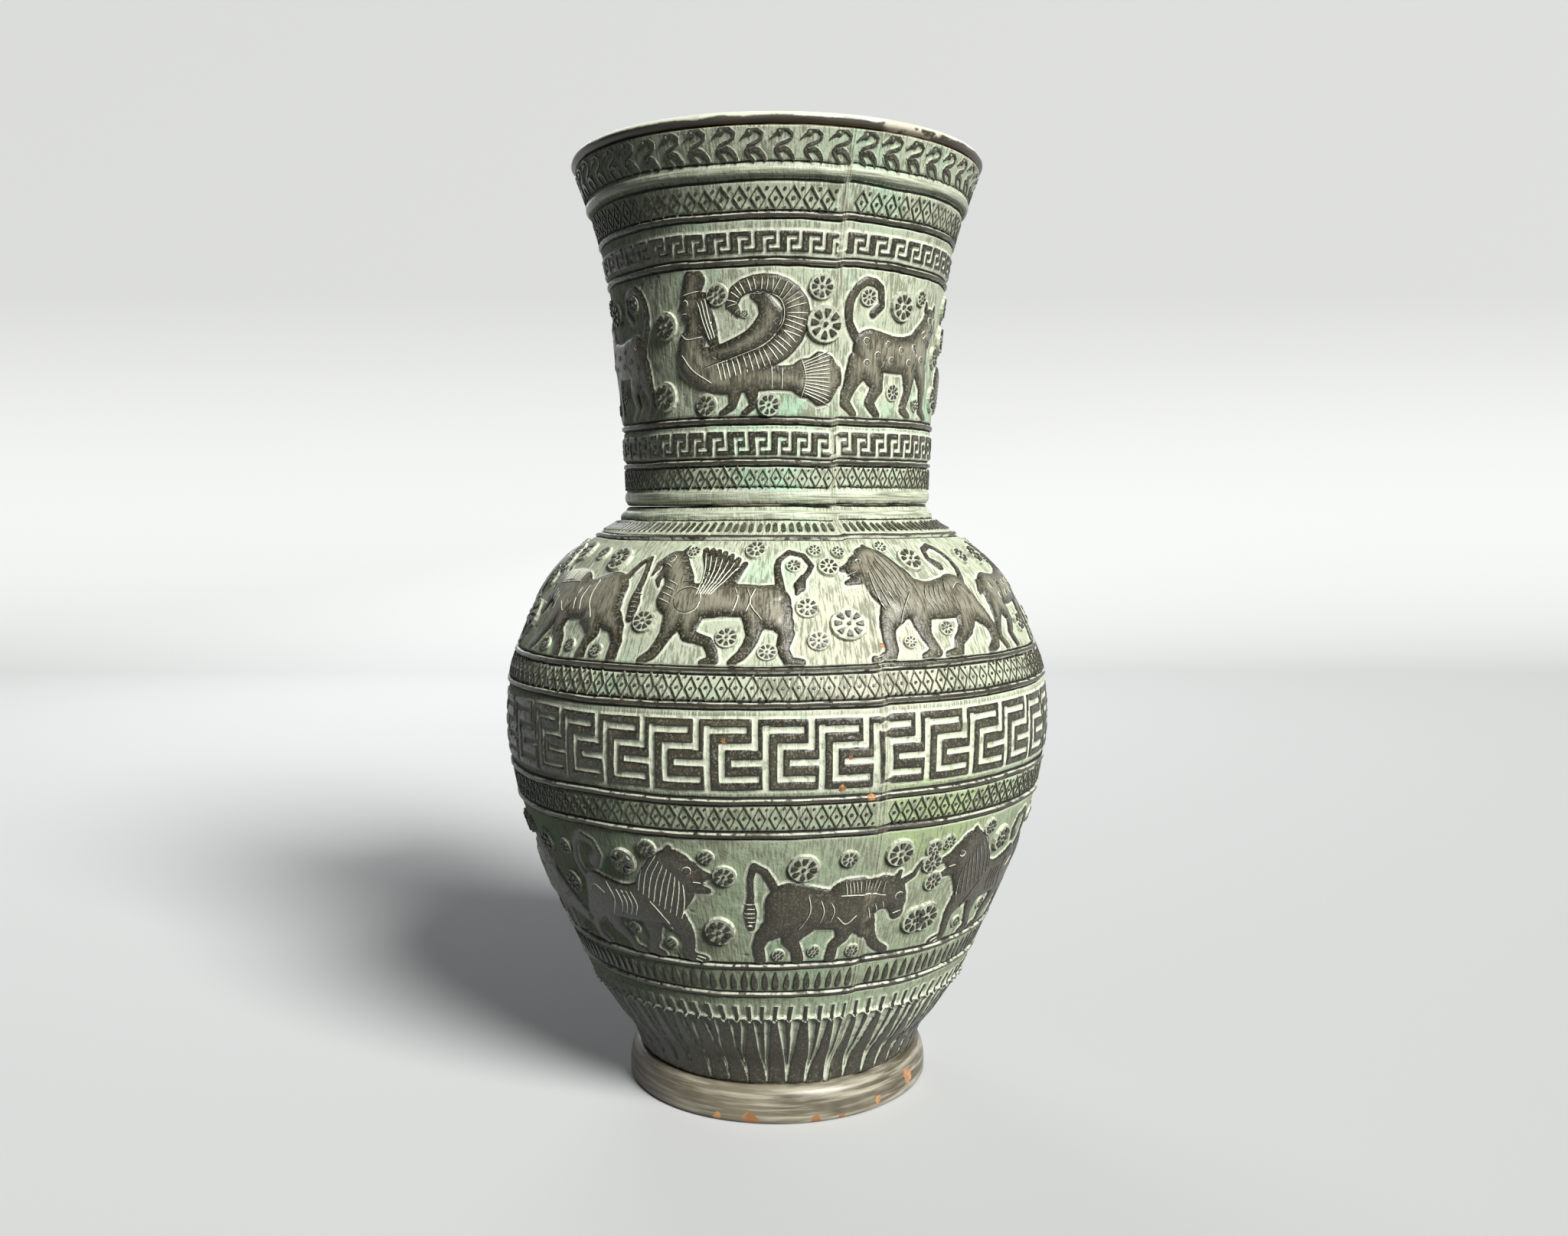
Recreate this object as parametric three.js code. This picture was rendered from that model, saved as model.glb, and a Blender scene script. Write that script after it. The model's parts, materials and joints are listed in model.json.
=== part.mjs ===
// A terracotta vase with a wide flared neck, pressed in moulds and luted together from clay sections.
// Millimetres, +Z up. The origin is on the axis, on the surface that the foot stands on.
// The wall is pressed as a front and a back half, so a seam of clay slip runs down each side of the neck and
// of the body. The lip, the foot and the floor are turned rings and a disc, each bedded in a ring of slip.
import * as THREE from "three";

// Overall sizes
const FOOT_RADIUS = 50;
const FOOT_HEIGHT = 11;
const BODY_HEIGHT = 178.4; // from the foot's bed of slip up to the collar, where the neck begins
const NECK_HEIGHT = 105.4;
const LIP_HEIGHT = 3.4;

// Radii of the outer wall, from the foot up
const ANKLE_RADIUS = 46.2; // where the wall stands on the foot
const CALF_RADIUS = 49.0;
const RAY_RADIUS = 55.2; // half way up the carved rays
const KNEE_RADIUS = 62.9; // at the rays' tops
const HIP_RADIUS = 71.5; // low on the lower frieze
const THIGH_RADIUS = 80.2;
const FLANK_RADIUS = 86.4; // over the lower frieze
const BELLY_RADIUS = 88.6; // the widest stretch, under the key pattern
const WAIST_RADIUS = 87.9; // over the key pattern
const SHOULDER_RADIUS = 82.9; // low on the upper frieze
const SHOULDER_MID_RADIUS = 73.4;
const SHOULDER_TOP_RADIUS = 58.6; // over the upper frieze
const COLLAR_FOOT_RADIUS = 52.6;
const COLLAR_RADIUS = 49.6; // where the neck stands on the body
const THROAT_RADIUS = 50.1; // under the neck's frieze
const NECK_MID_RADIUS = 51.7;
const NECK_TOP_RADIUS = 54.4; // over the neck's frieze
const FLARE_RADIUS = 58.4;
const BAND_RADIUS = 61.6; // under the band of birds at the mouth
const MOUTH_RADIUS = 65.1; // where the lip sits
const LIP_RADIUS = 66.4;

// Clay walls
const BODY_WALL = 6.2;
const NECK_WALL = 5.4;
const LIP_THICKNESS = 5.6;
const FLOOR_THICKNESS = 7;
const FLOOR_LEDGE = 4; // how far the floor rests on the foot
const FOOT_UPRIGHT = 3.2; // the foot's side is upright this far from the surface, and rounds in above
const FOOT_CHAMFER = 0.6; // worn off the foot's standing edge

// Joints
const SLIP = 0.6; // thickness of a bed of slip
const SEAM_ANGLE = 0.8; // degrees that a vertical seam of slip takes up
const SEAM_AZIMUTH = 20; // degrees round from the front, towards the right
const SPIGOT_HEIGHT = 4; // the inner half of a wall stands up into the piece above it
const LIP_SPIGOT_HEIGHT = 1.6;
const SPIGOT_SHARE = 0.5; // of the wall's thickness
const JOINT_GAP = 0.3; // between round faces that slide into each other
const FLOOR_SLIP = 1; // from the wall to the floor disc, filled with a ring of slip

// Raised fillets that part the carved bands. Their flat crown is CROWN_SHARE of their width.
const FILLET = { proud: 0.7, width: 1.5 };
const MOULDING = { proud: 1.1, width: 3.0 };
const CROWN_SHARE = 1 / 3;

// Carving, in few faces: the figures of the body's two friezes, the broad key and the rays
const FIGURE_PROUD = 0.9;
const FIGURE_EDGE = 4; // the slope of a figure's edge takes this much
const DRAWN = 1.0; // mm in one unit of the animals' drawings
const FIGURE_COLUMN = 10 / 3; // degrees between the columns of a frieze
const FRIEZE_ROWS = 9;
const FRIEZE_ROW = 5; // from one row to the next, along the wall
const FRIEZE_START = 2; // from the line that the figures stand on up to the first row
const KEY_PROUD = 0.6;
const KEY_UNITS = 35;
const KEY_START = 8.3; // azimuth where a unit begins
const RAY_PROUD = 0.6;
const RAYS = 96;
const SMEAR = 3.4; // degrees either side of a seam where the carving is pressed flat

// Facets
const HALF_FACETS = 23; // of each half of the wall, where it isn't carved
const COLUMN_MARGIN = 0.5; // degrees that a carved column keeps from the end of its half
const WHOLE_SHARE = 0.95; // a cell this much as wide as a unit of the key holds a whole one
const ROUND_STEPS = 6; // of the lip's crown and the foot's flare

const RAD = Math.PI / 180;
const FRONT = -90; // degrees round from +X
const FULL_TURN = 360;

// Levels, worked out from the heights of the sections
const LEVEL = {};
LEVEL.footTop = FOOT_HEIGHT;
LEVEL.bodyBottom = LEVEL.footTop + SLIP;
LEVEL.bodyTop = LEVEL.bodyBottom + BODY_HEIGHT;
LEVEL.neckBottom = LEVEL.bodyTop + SLIP;
LEVEL.neckTop = LEVEL.neckBottom + NECK_HEIGHT;
LEVEL.lipBottom = LEVEL.neckTop + SLIP;
LEVEL.lipTop = LEVEL.lipBottom + LIP_HEIGHT;
LEVEL.floorTop = LEVEL.bodyBottom + FLOOR_THICKNESS;

const FLOOR_RADIUS = ANKLE_RADIUS - BODY_WALL - FLOOR_SLIP;
const FOOT_HOLE_RADIUS = FLOOR_RADIUS - FLOOR_LEDGE;

const onBody = (share) => LEVEL.bodyBottom + share * BODY_HEIGHT;
const onNeck = (share) => LEVEL.neckBottom + share * NECK_HEIGHT;

// The outer wall's stations, as [radius, height], with a smooth curve through them
const BODY_STATIONS = [
  [ANKLE_RADIUS, LEVEL.bodyBottom],
  [CALF_RADIUS, onBody(0.041)],
  [RAY_RADIUS, onBody(0.089)],
  [KNEE_RADIUS, onBody(0.162)],
  [HIP_RADIUS, onBody(0.271)],
  [THIGH_RADIUS, onBody(0.4)],
  [FLANK_RADIUS, onBody(0.51)],
  [BELLY_RADIUS, onBody(0.61)],
  [WAIST_RADIUS, onBody(0.697)],
  [SHOULDER_RADIUS, onBody(0.776)],
  [SHOULDER_MID_RADIUS, onBody(0.871)],
  [SHOULDER_TOP_RADIUS, onBody(0.951)],
  [COLLAR_FOOT_RADIUS, onBody(0.972)],
  [COLLAR_RADIUS, LEVEL.bodyTop],
];
const NECK_STATIONS = [
  [COLLAR_RADIUS, LEVEL.neckBottom],
  [THROAT_RADIUS, onNeck(0.14)],
  [NECK_MID_RADIUS, onNeck(0.42)],
  [NECK_TOP_RADIUS, onNeck(0.654)],
  [FLARE_RADIUS, onNeck(0.82)],
  [BAND_RADIUS, onNeck(0.91)],
  [MOUTH_RADIUS, LEVEL.neckTop],
];

// Heights of the fillets, as shares of their section. They part the friezes, keys, lozenges and tongues.
const BODY_FILLETS = [0.199, 0.255, 0.492, 0.547, 0.697, 0.748, 0.949];
const NECK_FILLETS = [0.116, 0.23, 0.663, 0.783];
const NECK_MOULDINGS = [0.889];

// Where the key lies, and the heads and feet of the rays, as shares of the body
const KEY_SHARES = [0.562, 0.68];
const RAY_HEAD = 0.14;
const RAY_FOOT = 0.045;

// One hook of the key, anticlockwise, in shares of its unit
const KEY_HOOK = [
  [0.07, 0.04], [0.955, 0.04], [0.955, 0.34], [0.415, 0.34], [0.415, 0.45], [0.955, 0.45],
  [0.955, 0.55], [0.305, 0.55], [0.305, 0.24], [0.845, 0.24], [0.845, 0.14], [0.18, 0.14],
  [0.18, 0.665], [0.78, 0.665], [0.78, 0.765], [0.07, 0.765],
];

// The animals, facing right. A limb is [from x, from y, to x, to y, radius], from the animal's middle and up
// from the line that it stands on.
const LION = [
  [-18, 20.5, 3, 21.5, 7.2],
  [6, 24, 10, 34, 7.6],
  [11, 34, 18, 30, 3.6],
  [8, 16, 10.5, 3, 2.6],
  [0, 15, -2, 3, 2.4],
  [-17, 16, -11, 3, 2.8],
  [-23, 16, -27, 3, 2.6],
  [-25, 26, -24, 38, 1.6],
];
const BULL = [
  [-9.5, 21.5, 8, 21, 7.6],
  [8, 22.5, 18, 24, 6.4],
  [19, 23, 22.5, 17, 3.4],
  [23, 27, 28, 33, 1],
  [12, 16, 20, 3, 2.4],
  [6, 14, 2.5, 3, 2.4],
  [-9, 15, -8.5, 3, 2.6],
  [-14, 16, -20, 3, 2.6],
  [-16, 31, -22, 16, 1.7],
];
const GRIFFIN = [
  [15, 20, -10, 20, 6.3],
  [18, 24, 22, 35, 4.6],
  [25, 34, 28, 30, 1.6],
  [11, 22, 6, 38, 5],
  [16, 16, 22, 3, 2.4],
  [12, 16, 5, 3, 2.2],
  [-5.5, 16, -2, 3, 2.2],
  [-12, 16, -15, 3, 2.4],
  [-13, 24, -14, 38, 1.6],
];
const PANTHER = [
  [-14, 21.5, 8, 22, 6.2],
  [8, 24, 14.4, 31.4, 5],
  [9, 18, 12, 3, 2.4],
  [3, 17, 1, 3, 2.3],
  [-14, 17, -12.5, 3, 2.5],
  [-17.5, 17, -22, 3, 2.3],
  [-18.6, 24, -19, 36, 1.6],
];
const DEER = [
  [-14, 21.3, 8, 22.5, 6],
  [10, 24, 17.6, 34.4, 3.6],
  [18, 35.4, 24, 32.6, 2.2],
  [9, 18, 12, 3, 2.2],
  [6, 17, 3.5, 3, 2],
  [-14, 17, -13, 3, 2.2],
  [-17, 17, -21, 3, 2.2],
];
const BOAR = [
  [-12, 18.5, 9, 18.6, 8.8],
  [13, 16.6, 24, 10.5, 4.4],
  [9, 12, 10.4, 3, 2.4],
  [4, 12, 3, 3, 2.2],
  [-11, 12, -10.5, 3, 2.4],
  [-16, 13, -18.4, 3, 2.2],
];

// The friezes: the fillet that the figures stand on, as a share of the body, and each figure's azimuth.
// RIGHTWARDS faces as drawn, and LEFTWARDS is its mirror image.
const RIGHTWARDS = 1;
const LEFTWARDS = -1;
const FRIEZES = [
  {
    foot: 0.255,
    figures: [
      [LION, -27.9, RIGHTWARDS],
      [BULL, 10.6, RIGHTWARDS],
      [LION, 51, LEFTWARDS],
      [DEER, 91, RIGHTWARDS],
      [BOAR, 131, LEFTWARDS],
      [PANTHER, 171, RIGHTWARDS],
      [BULL, 211, LEFTWARDS],
      [DEER, 251, RIGHTWARDS],
      [BOAR, 291, RIGHTWARDS],
    ],
  },
  {
    foot: 0.748,
    figures: [
      [GRIFFIN, -8.8, LEFTWARDS],
      [LION, 30.9, LEFTWARDS],
      [DEER, 71, RIGHTWARDS],
      [GRIFFIN, 112, RIGHTWARDS],
      [BOAR, 152, RIGHTWARDS],
      [PANTHER, 192, RIGHTWARDS],
      [BULL, 232, LEFTWARDS],
      [LION, 271, RIGHTWARDS],
      [BULL, 311.5, RIGHTWARDS],
    ],
  },
];

// A monotone cubic through the stations: it gives the radius at a height and never overshoots between them
function wallCurve(stations) {
  const n = stations.length;
  const z = stations.map((s) => s[1]);
  const r = stations.map((s) => s[0]);
  const chord = [];
  for (let i = 0; i < n - 1; i++) chord.push((r[i + 1] - r[i]) / (z[i + 1] - z[i]));
  const slope = [chord[0]];
  for (let i = 1; i < n - 1; i++) {
    const turns = chord[i - 1] * chord[i] <= 0;
    slope.push(turns ? 0 : (2 * chord[i - 1] * chord[i]) / (chord[i - 1] + chord[i]));
  }
  slope.push(chord[n - 2]);
  return (height) => {
    let i = 0;
    while (i < n - 2 && height > z[i + 1]) i++;
    const step = z[i + 1] - z[i];
    const t = (height - z[i]) / step;
    const t2 = t * t;
    const t3 = t2 * t;
    return (
      r[i] * (2 * t3 - 3 * t2 + 1) +
      slope[i] * step * (t3 - 2 * t2 + t) +
      r[i + 1] * (3 * t2 - 2 * t3) +
      slope[i + 1] * step * (t3 - t2)
    );
  };
}

// The nearest turn to nought that an angle comes to, where it repeats each turn
const wrapped = (angle, turn) => angle - turn * Math.round(angle / turn);
const nearSeam = (azimuth) => Math.abs(wrapped(azimuth - SEAM_AZIMUTH, FULL_TURN / 2)) < SMEAR;

// The height reached by climbing so far along the curve
const CLIMB_STEP = 0.1;
function climb(curve, foot, distance) {
  let height = foot;
  let gone = 0;
  while (gone < distance) {
    gone += Math.hypot(CLIMB_STEP, curve(height + CLIMB_STEP) - curve(height));
    height += CLIMB_STEP;
  }
  return height;
}

// How far a point lies inside a figure
function depthInside(limbs, x, y) {
  const depths = limbs.map(([x0, y0, x1, y1, radius]) => {
    const [dx, dy] = [x1 - x0, y1 - y0];
    const share = ((x - x0) * dx + (y - y0) * dy) / (dx * dx + dy * dy);
    const t = Math.min(1, Math.max(0, share));
    return radius - Math.hypot(x - x0 - dx * t, y - y0 - dy * t);
  });
  return Math.max(...depths);
}

// A row of a carved band: columns of its own, and how proud the wall stands at each. A figure's edge has risen
// by the EDGE_MIDDLE share at its outline.
const EDGE_MIDDLE = 0.5;
function carvedRow(curve, height, columnStep, columnStart, proud, stamp) {
  const lean = (curve(height + CLIMB_STEP) - curve(height - CLIMB_STEP)) / (2 * CLIMB_STEP);
  const length = Math.hypot(1, lean);
  const columns = (angles) => {
    const from = angles[0];
    const to = angles[angles.length - 1];
    const first = Math.ceil((from / RAD - FRONT - columnStart + COLUMN_MARGIN) / columnStep);
    const last = Math.floor((to / RAD - FRONT - columnStart - COLUMN_MARGIN) / columnStep);
    const own = [from];
    for (let k = first; k <= last; k++) own.push((FRONT + columnStart + k * columnStep) * RAD);
    return [...own, to];
  };
  const point = (angle) => {
    const azimuth = angle / RAD - FRONT;
    const lift = nearSeam(azimuth) ? 0 : proud(azimuth);
    return [curve(height) + lift / length, height - (lift * lean) / length];
  };
  return [curve(height), height, { columns, point, stamp }];
}

// The rows of the body's carved bands
function carvedBands(curve) {
  const bands = FRIEZES.map(({ foot, figures }) => {
    const rows = [];
    for (let k = 0; k < FRIEZE_ROWS; k++) {
      const up = FRIEZE_START + k * FRIEZE_ROW;
      const height = climb(curve, onBody(foot), up);
      const reach = curve(climb(curve, onBody(foot), (FRIEZE_ROWS * FRIEZE_ROW) / 2)) * RAD;
      const proud = (azimuth) => {
        const depths = figures.map(([limbs, middle, facing]) => {
          const along = wrapped(azimuth - middle, FULL_TURN) * facing * reach;
          return depthInside(limbs, along / DRAWN, up / DRAWN) * DRAWN;
        });
        return FIGURE_PROUD * Math.min(1, Math.max(0, EDGE_MIDDLE + Math.max(...depths) / FIGURE_EDGE));
      };
      rows.push(carvedRow(curve, height, FIGURE_COLUMN, 0, proud));
    }
    return rows;
  });
  const unit = FULL_TURN / KEY_UNITS;
  const hook = { outline: KEY_HOOK, width: unit * RAD, proud: KEY_PROUD };
  const flat = () => 0;
  // The key's cells are flat from foot to head, so both stand out by the bulge of the belly between them
  const [keyFoot, keyHead] = KEY_SHARES.map(onBody);
  const bulge = BELLY_RADIUS - (curve(keyFoot) + curve(keyHead)) / 2;
  const bulged = (height) => curve(height) + bulge;
  bands.push([
    carvedRow(bulged, keyFoot, unit, KEY_START, flat, hook),
    carvedRow(bulged, keyHead, unit, KEY_START, flat),
  ]);
  const gap = FULL_TURN / RAYS / 2;
  const fluted = (azimuth) => (Math.round(azimuth / gap) % 2 === 0 ? RAY_PROUD : 0);
  bands.push([
    carvedRow(curve, onBody(RAY_FOOT), FULL_TURN / HALF_FACETS / 2, 0, flat),
    carvedRow(curve, onBody(RAY_HEAD), gap, 0, fluted),
  ]);
  return bands;
}

// The outer line of a section from bottom to top: points on the curve, with its fillets standing proud of it,
// and the rows of its carved bands
function outerLine(stations, fillets, mouldings, curve, bands = []) {
  const bottom = stations[0][1];
  const top = stations[stations.length - 1][1];
  const ridges = [
    ...fillets.map((share) => ({ z: bottom + share * (top - bottom), ...FILLET })),
    ...mouldings.map((share) => ({ z: bottom + share * (top - bottom), ...MOULDING })),
  ];
  const outside = (height, rows) => height < rows[0][1] || height > rows[rows.length - 1][1];
  const clear = (height) =>
    ridges.every((ridge) => Math.abs(height - ridge.z) > ridge.width) &&
    bands.every((rows) => outside(height, rows));
  const points = stations.slice(1, -1).filter((s) => clear(s[1]));
  for (let i = 0; i < stations.length - 1; i++) {
    const middle = (stations[i][1] + stations[i + 1][1]) / 2;
    if (clear(middle)) points.push([curve(middle), middle]);
  }
  for (const ridge of ridges) {
    const half = ridge.width / 2;
    const crown = half * CROWN_SHARE;
    points.push([curve(ridge.z - half), ridge.z - half]);
    points.push([curve(ridge.z - crown) + ridge.proud, ridge.z - crown]);
    points.push([curve(ridge.z + crown) + ridge.proud, ridge.z + crown]);
    points.push([curve(ridge.z + half), ridge.z + half]);
  }
  points.push(...bands.flat());
  points.sort((a, b) => a[1] - b[1]);
  return [stations[0], ...points, stations[stations.length - 1]];
}

// The inner line of a section from top to bottom: the stations moved in by the wall, square to the curve,
// whose lean is measured over LEAN_STEP either way
const LEAN_STEP = 0.5;
function innerLine(stations, wall, curve, lowest, highest) {
  const bottom = stations[0][1];
  const top = stations[stations.length - 1][1];
  const line = stations
    .map(([radius, height]) => {
      const low = Math.max(bottom, height - LEAN_STEP);
      const high = Math.min(top, height + LEAN_STEP);
      const lean = (curve(high) - curve(low)) / (high - low);
      const length = Math.hypot(1, lean);
      return [radius - wall / length, height + (wall * lean) / length];
    })
    .filter(([, height]) => height > lowest + LEAN_STEP && height < highest - LEAN_STEP);
  return line.sort((a, b) => b[1] - a[1]);
}

// Azimuths of the whole circle: equal facets in the front and back halves, and one facet for each seam
const SEAM_HALF = SEAM_ANGLE / 2;
function azimuths(from, to, facets) {
  const angles = [];
  for (let i = 0; i <= facets; i++) angles.push((from + ((to - from) * i) / facets) * RAD);
  return angles;
}
// The right seam is SEAM_AZIMUTH round from the front, and the left one is opposite to it
const RIGHT = FRONT + SEAM_AZIMUTH;
const LEFT = RIGHT + FULL_TURN / 2;
const BACK_ARC = azimuths(RIGHT + SEAM_HALF, LEFT - SEAM_HALF, HALF_FACETS);
const FRONT_ARC = azimuths(LEFT + SEAM_HALF, RIGHT + FULL_TURN - SEAM_HALF, HALF_FACETS);
const RIGHT_ARC = [FRONT_ARC[HALF_FACETS] - FULL_TURN * RAD, BACK_ARC[0]];
const LEFT_ARC = [BACK_ARC[HALF_FACETS], FRONT_ARC[0]];
const CIRCLE = [...BACK_ARC, ...FRONT_ARC];

// The triangles that fill a flat outline round its holes, all of them anticlockwise
function filled(outline, holes = []) {
  const vectors = (points) => points.map(([x, y]) => new THREE.Vector2(x, y));
  const points = [outline, ...holes].flat();
  const triangles = THREE.ShapeUtils.triangulateShape(vectors(outline), holes.map(vectors));
  return triangles.map(([a, b, c]) => {
    const [ax, ay] = points[a];
    const [bx, by] = points[b];
    const [cx, cy] = points[c];
    const turn = (bx - ax) * (cy - ay) - (cx - ax) * (by - ay);
    return turn > 0 ? [a, b, c] : [a, c, b];
  });
}

// A flat cell of the wall, with a form standing proud of it. Corners are the numbers of its points.
const CELL = [[0, 0], [1, 0], [1, 1], [0, 1]];
function stampCell(positions, index, corners, { outline, proud }) {
  const [a, b, c, d] = corners.map((corner) => new THREE.Vector3().fromArray(positions, 3 * corner));
  const outwards = b.clone().sub(a).cross(d.clone().sub(a)).normalize();
  const first = positions.length / 3;
  const count = outline.length;
  for (const lift of [0, proud])
    for (const [u, v] of outline) {
      const point = a.clone().lerp(b, u).lerp(d.clone().lerp(c, u), v).addScaledVector(outwards, lift);
      positions.push(...point.toArray());
    }
  const ring = [...corners, ...outline.map((_, k) => first + k)];
  for (const triangle of filled(CELL, [outline])) index.push(...triangle.map((k) => ring[k]));
  for (const triangle of filled(outline)) index.push(...triangle.map((k) => first + count + k));
  for (let k = 0; k < count; k++) {
    const next = (k + 1) % count;
    index.push(first + k, first + next, first + count + next);
    index.push(first + k, first + count + next, first + count + k);
  }
}

// The strip between two rows, whose columns may differ
function join(index, low, high) {
  let i = 0;
  let j = 0;
  while (i < low.ids.length - 1 || j < high.ids.length - 1) {
    const lowNext = low.angles[i + 1] ?? Infinity;
    const highNext = high.angles[j + 1] ?? Infinity;
    if (lowNext <= highNext) {
      index.push(low.ids[i], low.ids[i + 1], high.ids[j]);
      i++;
    } else {
      index.push(low.ids[i], high.ids[j + 1], high.ids[j]);
      j++;
    }
  }
}

// A closed section, as [radius, height] points that run up the outside and down the inside, swept round the
// axis through the given azimuths. A carved point has columns of its own. A full turn closes on itself, and
// any other has a flat face at each end.
function sweep(section, angles, fullTurn = false) {
  const positions = [];
  const index = [];
  const rows = section.map(([radius, height, carving]) => {
    const own = carving ? carving.columns(angles) : angles;
    const ids = own.map((angle) => {
      const [r, z] = carving ? carving.point(angle) : [radius, height];
      positions.push(r * Math.cos(angle), r * Math.sin(angle), z);
      return positions.length / 3 - 1;
    });
    if (fullTurn) return { angles: [...own, own[0] + FULL_TURN * RAD], ids: [...ids, ids[0]] };
    return { angles: own, ids };
  });
  rows.forEach((low, k) => {
    const high = rows[(k + 1) % rows.length];
    const stamp = section[k][2]?.stamp;
    if (!stamp) {
      join(index, low, high);
      return;
    }
    for (let i = 0; i < low.ids.length - 1; i++) {
      const corners = [low.ids[i], low.ids[i + 1], high.ids[i + 1], high.ids[i]];
      const whole = low.angles[i + 1] - low.angles[i] > stamp.width * WHOLE_SHARE;
      if (whole) stampCell(positions, index, corners, stamp);
      else index.push(corners[0], corners[1], corners[2], corners[0], corners[2], corners[3]);
    }
  });
  if (!fullTurn) {
    const outline = section.map(([radius, height]) => [radius, height]);
    for (const [a, b, c] of filled(outline)) {
      index.push(rows[a].ids[0], rows[b].ids[0], rows[c].ids[0]);
      index.push(rows[a].ids.at(-1), rows[c].ids.at(-1), rows[b].ids.at(-1));
    }
  }
  const geometry = new THREE.BufferGeometry();
  geometry.setAttribute("position", new THREE.Float32BufferAttribute(positions, 3));
  geometry.setIndex(index);
  return geometry;
}

// A solid of revolution whose section starts and ends on the axis
function disc(section, angles) {
  const positions = [0, 0, section[0][1]];
  const rim = section.slice(1, -1);
  for (const angle of angles)
    for (const [radius, height] of rim)
      positions.push(radius * Math.cos(angle), radius * Math.sin(angle), height);
  positions.push(0, 0, section[section.length - 1][1]);
  const top = positions.length / 3 - 1;
  const index = [];
  angles.forEach((_, i) => {
    const here = 1 + i * rim.length;
    const next = 1 + ((i + 1) % angles.length) * rim.length;
    index.push(0, next, here);
    for (let k = 0; k < rim.length - 1; k++) {
      index.push(here + k, next + k, next + k + 1);
      index.push(here + k, next + k + 1, here + k + 1);
    }
    index.push(here + rim.length - 1, next + rim.length - 1, top);
  });
  const geometry = new THREE.BufferGeometry();
  geometry.setAttribute("position", new THREE.Float32BufferAttribute(positions, 3));
  geometry.setIndex(index);
  return geometry;
}

// A spigot is the inner share of the neck's wall, and what slides over it stays clear of it by JOINT_GAP
const spigotOuter = (radius) => radius - NECK_WALL * (1 - SPIGOT_SHARE);
const spigotClear = (radius) => spigotOuter(radius) + JOINT_GAP;

// The wall of the body: it stands on its own flat end, and its inner half rises into the neck as a spigot
function bodySection() {
  const curve = wallCurve(BODY_STATIONS);
  const floorWall = ANKLE_RADIUS - BODY_WALL;
  const bore = COLLAR_RADIUS - NECK_WALL;
  const spigotTop = LEVEL.bodyTop + SPIGOT_HEIGHT;
  return [
    ...outerLine(BODY_STATIONS, BODY_FILLETS, [], curve, carvedBands(curve)),
    [spigotOuter(COLLAR_RADIUS), LEVEL.bodyTop],
    [spigotOuter(COLLAR_RADIUS), spigotTop],
    [bore, spigotTop],
    ...innerLine(BODY_STATIONS, BODY_WALL, curve, LEVEL.floorTop, LEVEL.bodyTop),
    [floorWall, LEVEL.floorTop],
    [floorWall, LEVEL.bodyBottom],
  ];
}

// The wall of the neck: its foot is rebated over the body's spigot, and its inner half rises into the lip
function neckSection() {
  const curve = wallCurve(NECK_STATIONS);
  const rebate = spigotClear(COLLAR_RADIUS);
  const rebateTop = LEVEL.bodyTop + SPIGOT_HEIGHT + JOINT_GAP;
  const spigotTop = LEVEL.neckTop + LIP_SPIGOT_HEIGHT;
  const bore = COLLAR_RADIUS - NECK_WALL;
  return [
    ...outerLine(NECK_STATIONS, NECK_FILLETS, NECK_MOULDINGS, curve),
    [spigotOuter(MOUTH_RADIUS), LEVEL.neckTop],
    [spigotOuter(MOUTH_RADIUS), spigotTop],
    [MOUTH_RADIUS - NECK_WALL, spigotTop],
    ...innerLine(NECK_STATIONS, NECK_WALL, curve, rebateTop, LEVEL.neckTop),
    [bore, rebateTop],
    [rebate, rebateTop],
    [rebate, LEVEL.neckBottom],
  ];
}

// The lip: a rounded ring, rebated over the neck's spigot
function lipSection() {
  const rebate = spigotClear(MOUTH_RADIUS);
  const rebateTop = LEVEL.neckTop + LIP_SPIGOT_HEIGHT + JOINT_GAP;
  const half = LIP_THICKNESS / 2;
  const rise = LEVEL.lipTop - rebateTop;
  const crown = [];
  for (let i = 0; i <= ROUND_STEPS; i++) {
    const turn = (Math.PI * i) / ROUND_STEPS;
    crown.push([LIP_RADIUS - half + half * Math.cos(turn), rebateTop + rise * Math.sin(turn)]);
  }
  return [[MOUTH_RADIUS, LEVEL.lipBottom], ...crown, [rebate, rebateTop], [rebate, LEVEL.lipBottom]];
}

// The foot: a ring that flares outwards and turns upright near the surface it stands on
function footSection() {
  const flare = [];
  const rise = FOOT_HEIGHT - FOOT_UPRIGHT;
  const reach = FOOT_RADIUS - ANKLE_RADIUS - JOINT_GAP;
  for (let i = 0; i <= ROUND_STEPS; i++) {
    const turn = (Math.PI / 2) * (i / ROUND_STEPS);
    flare.push([FOOT_RADIUS - reach * (1 - Math.cos(turn)), FOOT_UPRIGHT + rise * Math.sin(turn)]);
  }
  return [
    [FOOT_RADIUS - FOOT_CHAMFER, 0],
    ...flare,
    [FOOT_HOLE_RADIUS, LEVEL.footTop],
    [FOOT_HOLE_RADIUS, 0],
  ];
}

const floorSection = () => [
  [0, LEVEL.bodyBottom],
  [FLOOR_RADIUS, LEVEL.bodyBottom],
  [FLOOR_RADIUS, LEVEL.floorTop],
  [0, LEVEL.floorTop],
];

// A flat bed of slip between two levels
const bed = (outer, inner, low, high) => [
  [outer, low],
  [outer, high],
  [inner, high],
  [inner, low],
];

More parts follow.
